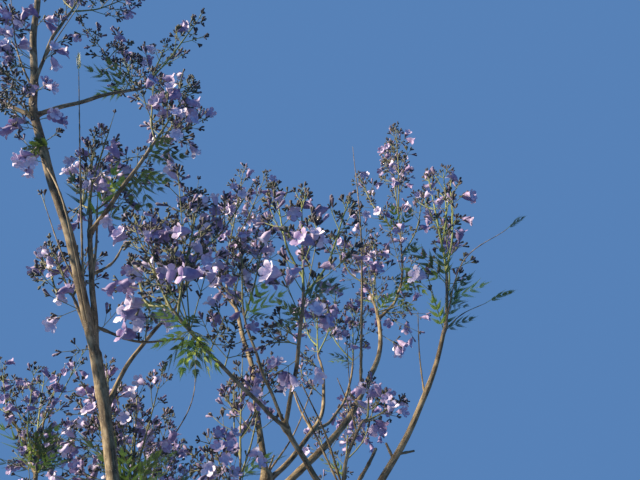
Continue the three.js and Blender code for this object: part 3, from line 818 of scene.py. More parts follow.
class Heap:
    """Points and triangles that grow into one mesh, each triangle with its look."""

    def __init__(self):
        self.points = []
        self.faces = []
        self.looks = []
        self.look_names = []
        self.size = 0

    def look(self, name):
        if name not in self.look_names:
            self.look_names.append(name)
        return self.look_names.index(name)

    def add(self, points, faces, look):
        self.points.append(points)
        self.faces.append(faces + self.size)
        self.looks.append(np.full(len(faces), self.look(look)))
        self.size += len(points)

    def add_copies(self, template, places, shade):
        """Copies of a template at places (origin, axes, size), in one of its shades."""
        if not places:
            return
        origins = np.array([origin for origin, _, _ in places])
        axes = np.array([axes for _, axes, _ in places])
        sizes = np.array([size for _, _, size in places])
        points = np.einsum("pk,nkj->npj", template.points, axes) * sizes[:, None, None] + origins[:, None]
        count = len(template.points)
        base = (np.arange(len(places)) * count)[:, None, None]
        for look, faces in template.faces.items():
            self.faces.append((faces[None] + base).reshape(-1, 3) + self.size)
            shaded = look if look in PLAIN_PARTS else f"{look}_{shade}"
            self.looks.append(np.full(len(places) * len(faces), self.look(shaded)))
        self.points.append(points.reshape(-1, 3))
        self.size += len(places) * count

    def to_object(self, name, smooth=True):
        points = np.concatenate(self.points)
        faces = np.concatenate(self.faces)
        mesh = bpy.data.meshes.new(name)
        mesh.vertices.add(len(points))
        mesh.vertices.foreach_set("co", points.astype(np.float32).ravel())
        mesh.loops.add(faces.size)
        mesh.loops.foreach_set("vertex_index", faces.astype(np.int32).ravel())
        mesh.polygons.add(len(faces))
        mesh.polygons.foreach_set("loop_start", np.arange(0, faces.size, 3, dtype=np.int32))
        mesh.polygons.foreach_set("material_index", np.concatenate(self.looks).astype(np.int32))
        mesh.polygons.foreach_set("use_smooth", np.full(len(faces), smooth))
        for look in self.look_names:
            mesh.materials.append(material(look))
        mesh.update(calc_edges=True)
        piece = bpy.data.objects.new(name, mesh)
        bpy.context.collection.objects.link(piece)
        return piece


@dataclass
class Template:
    """A small form 1 long along +Z, as points and triangles by look."""

    points: np.ndarray
    faces: dict


def grid_faces(rings, sides):
    """Triangles between rings of points that close on themselves."""
    ring, side = np.meshgrid(np.arange(rings - 1), np.arange(sides), indexing="ij")
    a = ring * sides + side
    b = ring * sides + (side + 1) % sides
    quads = np.stack([a, b, b + sides, a + sides], -1).reshape(-1, 4)
    return np.concatenate([quads[:, [0, 1, 2]], quads[:, [0, 2, 3]]])


def fan_faces(rings, sides, apex, first=False):
    """Triangles from the last ring, or the first one, to an apex."""
    start = 0 if first else (rings - 1) * sides
    rim = start + np.arange(sides)
    after = start + (np.arange(sides) + 1) % sides
    middle = np.full(sides, apex)
    return np.stack([after, rim, middle] if first else [rim, after, middle], -1)


def smooth_run(joints, per_span):
    """Points on a smooth curve through the joints."""
    joints = np.array(joints)
    ends = np.concatenate([[2 * joints[0] - joints[1]], joints, [2 * joints[-1] - joints[-2]]])
    share = (np.arange(per_span) / per_span)[:, None]
    spans = []
    for a, b, c, d in zip(ends, ends[1:], ends[2:], ends[3:]):
        bent = (2 * a - 5 * b + 4 * c - d) * share**2 + (3 * b - 3 * c + d - a) * share**3
        spans.append(b + 0.5 * ((c - a) * share + bent))
    return np.concatenate([*spans, joints[-1:]])


def lengths_along(points):
    steps = np.linalg.norm(np.diff(points, axis=0), axis=1)
    return np.concatenate([[0], np.cumsum(steps)])


def at_length(length, along, points):
    """The place that far along a run."""
    return np.array([np.interp(length, along, points[:, axis]) for axis in range(3)])


def turns_of(sides):
    return np.arange(sides) * 2 * math.pi / sides


def rims_of(across, out, turns):
    """Outward directions round each ring's two axes."""
    return across[:, None] * np.cos(turns)[..., None] + out[:, None] * np.sin(turns)[..., None]


def ring_axes(points):
    """Two square axes for each point of a run, kept from twisting by one side for all of it."""
    runs = np.gradient(points, axis=0)
    runs /= np.linalg.norm(runs, axis=1, keepdims=True)
    side, _ = square_axes(unit(points[-1] - points[0]))
    across = side - runs * (runs @ side)[:, None]
    across /= np.linalg.norm(across, axis=1, keepdims=True)
    return across, np.cross(runs, across), runs


def add_tube(heap, points, radii, sides, look):
    """A round tube along a run, closed by a point at its tip."""
    across, out, runs = ring_axes(points)
    radii = np.broadcast_to(radii, len(points))[:, None, None]
    rings = points[:, None] + rims_of(across, out, turns_of(sides)) * radii
    apex = points[-1] + runs[-1] * radii[-1, 0, 0] * TUBE_POINT
    faces = np.concatenate([grid_faces(len(points), sides), fan_faces(len(points), sides, rings.size // 3)])
    heap.add(np.concatenate([rings.reshape(-1, 3), apex[None]]), faces, look)


# Bark over the trunk and the boughs.


def noise_at(places, scale, seed):
    shift = Vector([part * seed for part in NOISE_SHIFT])
    return np.array([noise.noise(Vector(place) * scale + shift) for place in places])


@dataclass
class Run:
    """Limbs that carry on from each other, with their rings' centres, radii and heights."""

    limbs: list
    centres: np.ndarray
    radii: np.ndarray
    heights: np.ndarray


def limb_runs(tree):
    """Every limb in one run: with the limb that it carries on, or at the start of its own."""
    chains = []
    for limb in tree.limbs.values():
        if limb.carries_on:
            next(chain for chain in chains if chain[-1] is limb.parent).append(limb)
        else:
            chains.append([limb])
    return [joined(chain) for chain in chains]


def joined(chain):
    step = RING_STEP if chain[0].parent else TRUNK_STEP
    centres, radii = [chain[0].base[None]], [chain[0].radius([0])]
    for limb, end in zip(chain, [limb.share for limb in chain[1:]] + [1]):
        shares = np.linspace(0, end, max(10, round(end * limb.length / step)) + 1)[1:]
        centres.append(limb.point(shares))
        radii.append(limb.radius(shares))
    centres = np.concatenate(centres)
    radii = np.concatenate(radii)
    if len(chain) > 1:
        ease(centres)
        ease(radii)
    return Run(chain, centres, radii, lengths_along(centres))


def ease(values):
    """Rounds off the bends in values along a run."""
    for _ in range(EASING):
        values[1:-1] += 0.25 * (values[:-2] - 2 * values[1:-1] + values[2:])


def limb_sides(limb):
    if not limb.parent:
        return TRUNK_SIDES
    return THICK_SIDES if limb.foot > THICK_LIMB else THIN_SIDES


def trunk_radius(limb, height, turns):
    """The trunk's taper, its root flare and the lobes that run down into its roots."""
    taper = limb.tip + (limb.foot - limb.tip) * (1 - height / limb.length)
    flare = ROOT_FLARE * np.exp(-height / ROOT_FLARE_HEIGHT)
    lobes = ROOT_LOBE_DEPTH * np.exp(-height / (2 * ROOT_FLARE_HEIGHT))
    return (taper + flare) * (1 + lobes * np.cos(ROOT_LOBES * turns + ROOT_LOBE_TURN))


def leaf_scars(run, heights, turns):
    """Opposite pairs of low bumps where old leaves stood, each pair square to the last one."""
    rng = np.random.default_rng(SCAR_SEED + run.limbs[0].index)
    bumps = np.zeros_like(heights + turns)
    strength = np.clip(1.5 - run.limbs[0].foot / SCAR_FADE, *SCAR_STRENGTH)
    height = 0.5 * SCAR_SPACING
    turn = rng.uniform(0, math.pi)
    while height < run.heights[-1]:
        spread = SCAR_WIDTH + SCAR_SPREAD * np.interp(height, run.heights, run.radii)
        lobes = 0.45 + 0.55 * np.cos(2 * (turns - turn))
        bumps += strength * SCAR_HEIGHT * np.exp(-(((heights - height) / spread) ** 2)) * lobes
        height += SCAR_SPACING * rng.uniform(*SCAR_STEPS)
        turn += math.pi / 2 + rng.uniform(-SCAR_SWING, SCAR_SWING)
    return bumps


def limb_rings(run):
    """A run's rims' outward directions, radii and places along the grain, ring by ring."""
    sides = limb_sides(run.limbs[0])
    turns = turns_of(sides)[None]
    heights = run.heights[:, None]
    if run.limbs[0].parent:
        across, out, _ = ring_axes(run.centres)
        radii = run.radii[:, None] * (1 + leaf_scars(run, heights, turns))
    else:
        across = np.broadcast_to(np.array([1.0, 0, 0]), run.centres.shape)
        out = np.broadcast_to(np.array([0, 1.0, 0]), run.centres.shape)
        radii = trunk_radius(run.limbs[0], heights, turns)
    rims = rims_of(across, out, turns)
    along = np.broadcast_to(heights, radii.shape)
    grain = np.stack([radii * np.cos(turns), radii * np.sin(turns), along], -1)
    return rims, radii, grain + np.array([0, 0, GRAIN_SHIFT * run.limbs[0].index])


def roughened(radii, grain):
    """The radii with furrows along the grain and slow lumps."""
    flat = grain.reshape(-1, 3)
    furrows = noise_at(flat * np.array([1, 1, FURROW_STRETCH]), FURROW_SCALE, 1).reshape(radii.shape)
    lumps = noise_at(flat * np.array([1, 1, LUMP_STRETCH]), LUMP_SCALE, 2).reshape(radii.shape)
    depth = np.minimum(FURROW_DEPTH, FURROW_SHARE * radii)
    return radii * (BARK_INSET + LUMP_HEIGHT * lumps) - depth * np.abs(furrows) * FURROW_SHARPNESS


def surface_gap(points, limb):
    """How far points are from another limb's surface, and which way leads off it."""
    shares = np.linspace(0, 1, max(6, round(limb.length / SURFACE_STEP)))
    line = limb.point(shares)
    away, share = off_segments(points, line[:-1], line[1:] - line[:-1])
    apart = np.linalg.norm(away, axis=-1)
    radii = limb.radius(shares)
    radii = radii[:-1] + (radii[1:] - radii[:-1]) * share
    nearest = (apart - radii).argmin(1)
    pick = np.arange(len(points))
    away = away[pick, nearest] / np.maximum(apart[pick, nearest], 1e-9)[:, None]
    return (apart - radii)[pick, nearest], away


def neighbours(run, tree):
    """The limbs that meet a run, each with the place of its fork."""
    first = run.limbs[0]
    found = {}
    for other in tree.limbs.values():
        if other in run.limbs:
            continue
        if other.parent in run.limbs:
            found[other.name] = (other, other.base)
        elif first.parent is other or (first.parent and other.parent is first.parent):
            found[other.name] = (other, first.base)
    return found.values()


def filleted(points, outward, run, tree):
    """Points lifted where another limb's surface is near, so that a fork's crotch is rounded."""
    lifted = points.copy()
    foot = run.limbs[0].foot
    for other, fork in neighbours(run, tree):
        reach = FILLET * min(foot, other.foot)
        close = np.linalg.norm(points - fork, axis=1) < FILLET_ZONE * (foot + other.foot)
        if not close.any():
            continue
        gap, away = surface_gap(points[close], other)
        lift = reach * FILLET_LIFT * np.clip(1 - np.abs(gap) / reach, 0, 1) ** 2
        mix = (0.5 + 0.5 * np.clip(gap / reach, -1, 1))[:, None]
        lifted[close] += (outward[close] * mix + away * (1 - mix)) * lift[:, None]
    return lifted


def add_run(heap, grains, run, tree):
    rims, radii, grain = limb_rings(run)
    radii = roughened(radii, grain)
    points = run.centres[:, None] + rims * radii[..., None]
    points = filleted(points.reshape(-1, 3), rims.reshape(-1, 3), run, tree)
    on_ground = not run.limbs[0].parent
    if on_ground:
        points[:, 2] = np.maximum(points[:, 2], 0)
        points[: radii.shape[1], 2] = 0
    rings, sides = radii.shape
    rim = points.reshape(rings, sides, 3)[-1]
    crown = dome_over(rim, run.centres[-1], run.limbs[-1].direction(1), radii[-1].mean())
    points = np.concatenate([points, crown])
    last = rings + len(DOME_ANGLES)
    faces = [grid_faces(last, sides), fan_faces(last, sides, len(points) - 1)]
    tail = np.repeat(grain[-1:], len(DOME_ANGLES), axis=0).reshape(-1, 3)
    grain = np.concatenate([grain.reshape(-1, 3), tail, grain[-1].mean(0)[None]])
    if on_ground:
        faces.append(fan_faces(rings, sides, len(points), first=True))
        points = np.concatenate([points, run.centres[:1]])
        grain = np.concatenate([grain, grain[:1]])
    heap.add(points, np.concatenate(faces), "young_bark")
    grains.append(grain)


def whip_curve(whip, tree):
    root = tree.limbs[whip.on].point(whip.share)
    aim = pointing(whip.heading, whip.rise)
    side, up = square_axes(aim)
    middle = root + (aim * 0.5 + up * whip.bow + side * whip.sway) * whip.length
    return smooth_run([root, middle, root + aim * whip.length], max(3, round(whip.length / WHIP_STEP)))


def add_whip(heap, grains, whip, tree):
    """A thin twig, swollen where it leaves its limb."""
    points = whip_curve(whip, tree)
    along = lengths_along(points)
    radii = knotted(points, whip.foot, whip.tip, WHIP_JOINTS)
    radii += COLLAR * whip.foot * np.exp(-((along / (COLLAR_REACH * whip.foot)) ** 2))
    add_tube(heap, points, radii, WHIP_SIDES, "young_bark")
    turns = turns_of(WHIP_SIDES)
    radii, along = np.broadcast_arrays(radii[:, None], along[:, None] + WHIP_GRAIN_SHIFT * whip.length)
    grain = np.stack([radii * np.cos(turns), radii * np.sin(turns), along + 0 * turns], -1).reshape(-1, 3)
    grains.append(np.concatenate([grain, grain[-1:]]))


def dome_over(rim, centre, direction, radius):
    """Three rings and an apex that round off a limb's end."""
    rings = []
    for angle in DOME_ANGLES:
        lift = direction * radius * math.sin(angle) * DOME_HEIGHT
        rings.append(centre + (rim - centre) * math.cos(angle) + lift)
    apex = centre + direction * radius * DOME_HEIGHT
    return np.concatenate([*rings, apex[None]])


def build_bark(tree):
    heap = Heap()
    grains = []
    for run in limb_runs(tree):
        add_run(heap, grains, run, tree)
    for whip in WHIP_ROWS:
        add_whip(heap, grains, whip, tree)
    piece = heap.to_object("trunk_and_boughs")
    attribute = piece.data.attributes.new("grain", "FLOAT_VECTOR", "POINT")
    attribute.data.foreach_set("vector", np.concatenate(grains).astype(np.float32).ravel())
    finish_piece(piece, list(tree.limbs))


# Small forms that are copied many times.


def lathe_template(profile, sides, look):
    """A round form from (height, radius) pairs, ending in a point."""
    turns = turns_of(sides)
    rim = np.stack([np.cos(turns), np.sin(turns), np.zeros(sides)], -1)
    rings = [rim * r + [0, 0, z] for z, r in profile[:-1]]
    points = np.concatenate([*rings, [[0, 0, profile[-1][0]]]])
    count = len(rings)
    faces = np.concatenate([grid_faces(count, sides), fan_faces(count, sides, len(points) - 1)])
    return Template(points, {look: faces})


def round_bud():
    """A club on a thin stalk."""
    return lathe_template([(0, 0.055), (0.6, 0.15), (0.88, 0.19), (1, 0)], 4, "bud")


def long_bud():
    """A bud near to opening: a finger-like tube with a round end."""
    return lathe_template([(0, 0.05), (0.45, 0.1), (0.86, 0.155), (1, 0)], 5, "long_bud")


FLOWER_SIDES = 10
TUBE_RINGS = (
    (0, 0.03), (0.03, 0.06), (0.1, 0.065), (0.18, 0.08),
    (0.28, 0.15), (0.4, 0.21), (0.58, 0.24), (0.72, 0.235),
)
TUBE_FLATNESS = 0.88
TUBE_BEND = 0.16
LOBE_UNEVENNESS = 0.1
LOBE_POINT = 1.07
LOBE_TILT = 0.08
LOBE_EDGE_DROP = 0.05
LOBE_FLATNESS = 0.92
LOBE_SINK = 0.1
LOBE_ROWS = ((0.28, 0.81, 0.86), (0.36, 0.9, 0.84), (0.42, 0.92, 0.5))
CALYX_RINGS = 3
THROAT_DEPTH = 0.5
TUBE_FOLD = 0.08


def flower():
    """A bent bell: a dark calyx, a folded tube that widens, a pale throat and five flared lobes."""
    step = 2 * math.pi / FLOWER_SIDES
    turns = np.arange(FLOWER_SIDES) * step + math.pi / 2
    points = []
    for z, r in TUBE_RINGS:
        for turn in turns:
            fold = r * (1 + TUBE_FOLD * math.sin(5 * turn))
            y = TUBE_FLATNESS * fold * math.sin(turn) - TUBE_BEND * z * z
            points.append([fold * math.cos(turn), y, z])
    tube = grid_faces(len(TUBE_RINGS), FLOWER_SIDES)
    low = tube.min(1) // FLOWER_SIDES
    lobes = []
    for lobe in range(5):
        lobes += lobe_faces(lobe, points, step)
    throat = fan_faces(1, FLOWER_SIDES, FLOWER_SIDES) + len(points)
    points += points[(len(TUBE_RINGS) - 1) * FLOWER_SIDES : len(TUBE_RINGS) * FLOWER_SIDES]
    points.append([0, -TUBE_BEND * THROAT_DEPTH**2, THROAT_DEPTH])
    return Template(
        np.array(points),
        {
            "calyx": tube[low < CALYX_RINGS - 1],
            "tube": tube[low >= CALYX_RINGS - 1],
            "lobe": np.array(lobes),
            "throat": throat,
        },
    )


def lobe_faces(lobe, points, step):
    """Adds one lobe's points beyond the throat and gives its triangles."""
    throat = (len(TUBE_RINGS) - 1) * FLOWER_SIDES
    middle = (2 * lobe + 1) * step + math.pi / 2
    high = math.sin(middle)
    size = 1.0 - LOBE_UNEVENNESS * high
    before = [throat + (2 * lobe + column) % FLOWER_SIDES for column in range(3)]
    faces = []
    for r, z, width in LOBE_ROWS:
        row = []
        for column in (-1, 0, 1):
            turn = middle + column * step * width
            reach = r * size * (LOBE_POINT if column == 0 else 1.0)
            lift = z - LOBE_TILT * high * (r - 0.2) - (LOBE_EDGE_DROP if column else 0)
            row.append(len(points))
            y = LOBE_FLATNESS * reach * math.sin(turn) - LOBE_SINK
            points.append([reach * math.cos(turn), y, lift])
        for left in (0, 1):
            a, b, c, d = before[left], before[left + 1], row[left + 1], row[left]
            faces += [[a, b, c], [a, c, d]]
        before = row
    return faces


# Twigs, panicles and leaves.


def knotted(points, foot, tip, spacing):
    """Radii that taper along a run and swell a little at each leaf joint."""
    along = lengths_along(points)
    radii = foot + (tip - foot) * along / along[-1]
    from_joint = np.abs((along / spacing) % 1 - 0.5) * spacing
    return radii * (1 + JOINT_SWELL * np.exp(-((from_joint / JOINT_WIDTH) ** 2)))


@dataclass
class Kinds:
    """The heaps of one part of the crown, and the places of the copies in it."""

    twigs: Heap = field(default_factory=Heap)
    leaves: Heap = field(default_factory=Heap)
    copies: dict = field(default_factory=dict)


@dataclass
class Grower:
    """Grows twigs, buds, flowers and leaves into one part of the crown, in a mass or on a limb."""

    kinds: Kinds
    rng: np.random.Generator
    look: str = "olive_twig"
    bloom: float = 0.0
    mass: Mass = None

    def put(self, template, shade, origin, direction, roll, size):
        side, rear = square_axes(direction)
        across = side * math.cos(roll) + rear * math.sin(roll)
        axes = np.array([across, np.cross(direction, across), direction])
        self.kinds.copies.setdefault((template, shade), []).append((origin, axes, size))

    def twig(self, points, foot, tip, sides):
        add_tube(self.kinds.twigs, points, np.linspace(foot, tip, len(points)), sides, self.look)

    def dress(self):
        """The mass's stem, shoots, panicles and leaves."""
        growth = self.mass.growth
        self.stem(growth.stem)
        for joints in growth.shoots:
            points = smooth_run(joints, 7)
            radii = knotted(points, SHOOT_FOOT_RADIUS, SHOOT_TIP_RADIUS, SHOOT_JOINTS)
            add_tube(self.kinds.twigs, points, radii, 6, self.look)
        for joints in [growth.stem, *growth.shoots]:
            self.side_stalks(smooth_run(joints, 6)[:-6])
        for foot, direction, length in growth.panicles:
            self.panicle(foot, direction, length)
        for root, tip in growth.leaves:
            for turn in TUFT:
                self.fitting_leaf(root, tip, turn)

    def stem(self, joints):
        """The stem goes on from its bough's tip at the bough's thickness and soon grows thinner."""
        mass = self.mass
        points = smooth_run([mass.foot - mass.tangent * STEM_SINK, *joints[1:]], 12)
        along = lengths_along(points)
        foot = min(STEM_RADIUS, mass.limb.tip * STEM_SHARE)
        radii = knotted(points, foot, SHOOT_TIP_RADIUS, STEM_JOINTS)
        radii += (mass.limb.tip - foot) * np.exp(-((along / STEM_EASING) ** 2))
        half = len(points) // 2
        add_tube(self.kinds.twigs, points[: half + 1], radii[: half + 1], 8, "brown_twig")
        add_tube(self.kinds.twigs, points[half:], radii[half:], 7, self.look)

    def side_stalks(self, points):
        """Opposite stalks up the part of a stem or shoot that lies below its panicle."""
        rng = self.rng
        along = lengths_along(points)
        run = unit(points[-1] - points[0])
        height = STEM_FREE * rng.uniform(*LEVEL_STEPS)
        turn = rng.uniform(0, math.pi)
        while height < along[-1] - 0.01:
            root = at_length(height, along, points)
            for half in (0, math.pi):
                if rng.random() < STEM_STALKS:
                    lean = leaned(run, SPRAY_ANGLE * rng.uniform(*STEM_STALK_LEAN), turn + half)
                    reach = self.mass.spray * rng.uniform(*STEM_STALK_REACH)
                    self.fitting_stalk(root, lean, reach, STEM_BLOOM_HEIGHT)
            height += STEM_STEP * rng.uniform(*STEM_STALK_STEPS)
            turn += math.pi / 2

    def panicle(self, foot, direction, length):
        """Opposite pairs of stalks up a rachis, each pair square to the last one."""
        rng, mass = self.rng, self.mass
        total = length + mass.spray * PANICLE_TIP
        full = length * RACHIS_SHARE
        tip = foot + direction * total
        # One number is passed over: without it every stalk would stand elsewhere.
        rng.random()
        points = smooth_run([foot + direction * (length - 0.02), foot + direction * (length + 0.03), tip], 3)
        self.twig(points, SHOOT_TIP_RADIUS, RACHIS_TIP_RADIUS, 4)
        height = FIRST_LEVEL
        level = 0
        while height < total - LAST_LEVEL:
            share = height / full
            past = (height - full) / (total - full)
            reach = mass.spray * (1 - SPRAY_SHRINK * share)
            if share > 1:
                reach = mass.spray * SPRAY_SHRINK * (1 - past) + TIP_REACH * past
            for half in (0, math.pi):
                turn = half + level * math.pi / 2 + mass.index + rng.uniform(-LEVEL_SWING, LEVEL_SWING)
                lean = leaned(direction, max(SPRAY_ANGLE - SPRAY_CLOSING * share, LEAST_LEAN), turn)
                size = reach * rng.uniform(*LEVEL_REACH)
                self.fitting_stalk(foot + direction * height, lean, size, height / total)
            step = LEVEL_STEP / mass.fullness * rng.uniform(*LEVEL_STEPS)
            height += step * (1.1 - TOP_SHRINK * height / total)
            level += 1
        self.cluster(tip, direction, 5, 1.0, 0)

    def fitting_stalk(self, root, direction, reach, height):
        """A side stalk in the mass, where it fits."""
        tip = root + toward(direction, UP, STALK_LIFT) * reach
        if fits(root, tip, reach * STALK_FULLNESS, self.mass, FINE_CLEARANCE):
            self.stalk(root, tip, direction, height)

    def stalk(self, root, tip, direction, height):
        """A stalk with smaller opposite stalks, each ending in buds and flowers."""
        rng = self.rng
        reach = np.linalg.norm(tip - root)
        shade = int(rng.integers(3))
        knee = root + direction * reach * STALK_KNEE
        points = smooth_run([root, knee, tip], 2)
        self.twig(points, STALK_RADIUS, TWIGLET_RADIUS, 4)
        turn = rng.uniform(0, math.pi)
        for share, part in TWIGLETS:
            if reach * part < SHORTEST_TWIGLET:
                continue
            node = points[round(share * (len(points) - 1))]
            for half in (0, math.pi):
                if rng.random() < TWIGLET_MISSES:
                    continue
                side = leaned(unit(tip - root), rng.uniform(*TWIGLET_SPREAD), turn + half)
                end = node + toward(side, UP, TWIGLET_LIFT) * reach * part * rng.uniform(*TWIGLET_REACH)
                self.twig(np.stack([node, end]), TWIGLET_RADIUS, TWIGLET_TIP_RADIUS, 3)
                self.cluster(end, unit(end - node), 3, height, shade)
            turn += math.pi / 2
        self.cluster(tip, unit(tip - knee), 4, height, shade)

    def cluster(self, tip, direction, count, height, shade):
        """A fan of buds round a stalk's end; lower in a panicle one of them may be an open flower."""
        rng = self.rng
        length = BUD_LENGTH * (self.mass.vigour if self.mass else 1.0)
        first = rng.uniform(0, 2 * math.pi)
        if rng.random() < self.bloom * OPEN_SHARE * np.clip(1.25 - height * 1.3, 0, 1):
            self.open_flower(tip, direction)
            count -= 2
        for number in range(count):
            lean = leaned(direction, rng.uniform(*BUD_SPREAD), first + number * 2 * math.pi / count)
            if rng.random() < LONG_BUDS * (1 - height):
                self.put(long_bud, shade, tip, lean, 0, length * rng.uniform(*LONG_BUD_SIZE))
            else:
                size = length * rng.uniform(*ROUND_BUD_SIZE) * (1.1 - TOP_SHRINK * height)
                self.put(round_bud, shade, tip, lean, 0, size)

    def open_flower(self, tip, direction):
        rng = self.rng
        turned = leaned(direction, rng.uniform(*FLOWER_LEAN), rng.uniform(0, 2 * math.pi))
        mouth = toward(turned, DOWN, rng.uniform(*FLOWER_DROOP))
        shade = int(rng.integers(3))
        # Painted shade: on the far side, away from the low light, most flowers are dealt the deepest colour.
        if tip[1] > FAR_SIDE and rng.random() < FAR_PAINTED_SHADE_SHARE:
            shade = PAINTED_SHADE_TONE
        roll = rng.uniform(*ROLL)
        self.put(flower, shade, tip, mouth, roll, FLOWER_LENGTH * rng.uniform(*FLOWER_SIZE))

    def sprig(self, root, aim, reach, kind):
        """What stands on a limb or on a whip's tip: leaves, a whole panicle or a stalk."""
        end = root + aim * reach
        self.bloom = SPRIG_BLOOM.get(kind, 0)
        if kind == "tip_leaf":
            self.leaf(root, end, TIP_LEAF_SPREAD)
        elif kind.endswith("leaf"):
            self.leaf_tuft(root, aim, reach, "leaf_bright" if kind == "bright_leaf" else None)
        elif kind.endswith("panicle"):
            self.free_panicle(root, aim, reach)
        else:
            self.stalk(root, end, aim, SPRIG_HEIGHT)
        if kind in LARGE_FLOWERS:
            shade, facing, size = LARGE_FLOWERS[kind]
            mouth = unit(np.array(facing) + self.rng.uniform(-FACING_SWING, FACING_SWING, 3))
            self.put(flower, shade, end, mouth, self.rng.uniform(*ROLL), FLOWER_LENGTH * size)

    def free_panicle(self, root, aim, reach):
        """A panicle that stands straight on a limb."""
        end = root + aim * reach
        self.twig(smooth_run([root, end], 6), FREE_RACHIS_RADIUS, TWIGLET_RADIUS, 5)
        for share in np.arange(FREE_START, 1, SPRIG_STEP / reach):
            for half in (0, math.pi):
                lean = leaned(aim, SPRAY_ANGLE, FREE_TURN * share + half)
                foot = root + aim * reach * share
                long = lean * SPRAY_LENGTH * (FREE_REACH - FREE_SHRINK * share)
                tip = foot + long * self.rng.uniform(*FREE_UNEVENNESS)
                self.stalk(foot, tip, lean, FREE_BLOOM_HEIGHT)
        self.cluster(end, aim, 5, 1, 0)

    def leaf_tuft(self, root, aim, reach, look):
        side, rear = square_axes(aim)
        for turn in SPRIG_TUFT:
            lift = rear * self.rng.uniform(-TUFT_LIFT, TUFT_LIFT)
            lean = unit(aim * math.cos(turn) + side * math.sin(turn) + lift)
            self.leaf(root, root + lean * reach * (1 - TUFT_SHRINK * abs(turn)), look=look)

    def fitting_leaf(self, root, tip, turn):
        """One leaf of a mass's tuft, where it fits."""
        run = tip - root
        size = MIDDLE_LEAF if turn == 0 else self.rng.uniform(*SIDE_LEAF)
        direction = unit(run)
        side, _ = square_axes(direction)
        lift = UP * SIDE_LEAF_LIFT * abs(turn)
        direction = unit(direction * math.cos(turn) + side * math.sin(turn) + lift)
        end = root + direction * np.linalg.norm(run) * size
        if fits(root, end, LEAF_ROOM, self.mass, FINE_CLEARANCE):
            self.leaf(root, end)

    def leaf(self, root, end, spread=1.0, look=None):
        """A fern-like leaf: pairs of pinnae up a rachis, each with pairs of pointed leaflets."""
        rng, heap = self.rng, self.kinds.leaves
        look = look or LEAF_LOOKS[int(rng.integers(3))]
        length = np.linalg.norm(end - root)
        direction = unit(end - root)
        points = smooth_run([root, (root + end) / 2 + UP * LEAF_ARCH * length, end], 5)
        add_tube(heap, points, np.linspace(LEAF_STALK_RADIUS, PINNA_RADIUS, len(points)), 3, look)
        along = lengths_along(points)
        widest = length * LEAF_FULLNESS * PINNA_REACH
        level, up = square_axes(direction)
        for pair in range(PINNA_PAIRS):
            share = PINNA_START + PINNA_SPAN * pair / (PINNA_PAIRS - 1)
            foot = at_length(share * along[-1], along, points)
            reach = widest * math.sin(math.pi * (0.18 + 0.72 * share)) ** 0.8
            for hand in (-1, 1):
                swing = rng.uniform(-PINNA_SWING, PINNA_SWING)
                angle = (PINNA_ANGLE - PINNA_CLOSING * share) * spread + swing
                flat = direction * math.cos(angle) + level * hand * math.sin(angle)
                aim = unit(flat + up * rng.uniform(-PINNA_TILT, PINNA_TILT))
                add_pinna(heap, foot, aim, reach, up, look)
        add_pinna(heap, end, direction, widest * END_PINNA, up, look)


def add_pinna(heap, foot, direction, reach, up, look):
    across = unit(np.cross(direction, up))
    end = foot + direction * reach - up * reach * PINNA_DROOP
    add_tube(heap, np.stack([foot, end]), np.array([PINNA_RADIUS, PINNA_TIP_RADIUS]), 3, look)
    count = max(3, round(reach / LEAFLET_STEP))
    shares = (np.arange(count) + 0.6) / count
    size = (LEAFLET_LENGTH * (1.1 - 0.8 * shares) * np.minimum(1, 0.55 + 2 * shares))[:, None]
    feet = foot + (end - foot) * shares[:, None]
    for hand in (-1, 1):
        lean = unit(direction + across * hand * LEAFLET_LEAN + up * LEAFLET_LIFT)
        width = unit(np.cross(lean, up)) * LEAFLET_WIDTH / LEAFLET_LENGTH * size * 0.5
        middle = feet + lean * size * LEAFLET_MIDDLE
        points = np.stack([feet, middle - width, feet + lean * size, middle + width], 1).reshape(-1, 3)
        base = (np.arange(count) * 4)[:, None]
        heap.add(points, np.concatenate([base + [0, 1, 2], base + [0, 2, 3]]), look)
    shoulder = end + direction * LEAFLET_LENGTH * 0.4 + across * 0.0012
    heap.add(np.stack([end, shoulder, end + direction * LEAFLET_LENGTH]), np.array([[0, 1, 2]]), look)


def grow_sprigs(prefix, tree, kinds):
    """The sprigs and the whips' tips on the limbs whose names start alike."""
    grower = Grower(kinds, np.random.default_rng(SPRIG_SEED))
    for on, rows in SPRIG_ROWS:
        if on.startswith(prefix):
            for share, heading, rise, reach, kind in rows:
                grower.sprig(tree.limbs[on].point(share), pointing(heading, rise), reach, kind)
    for whip in WHIP_ROWS:
        if whip.bears and whip.on.startswith(prefix):
            points = whip_curve(whip, tree)
            grower.sprig(points[-1], unit(points[-1] - points[-2]), WHIP_TIP_REACH, whip.bears)


def grow_side_panicles(limb, kinds):
    """Panicles up a bough's outer half, turned about it one after another, every third a tuft."""
    grower = Grower(kinds, np.random.default_rng(SIDE_SEED + limb.index))
    for number, share in enumerate(np.arange(SIDE_START, 0.97, SIDE_STEP / limb.length)):
        aim = toward(leaned(limb.direction(share), SIDE_LEAN, number * GOLDEN_ANGLE), UP, SIDE_LIFT)
        kind = "leaf" if number % 3 == 1 else "full_panicle"
        grower.sprig(limb.point(share), aim, grower.rng.uniform(*SIDE_REACH), kind)


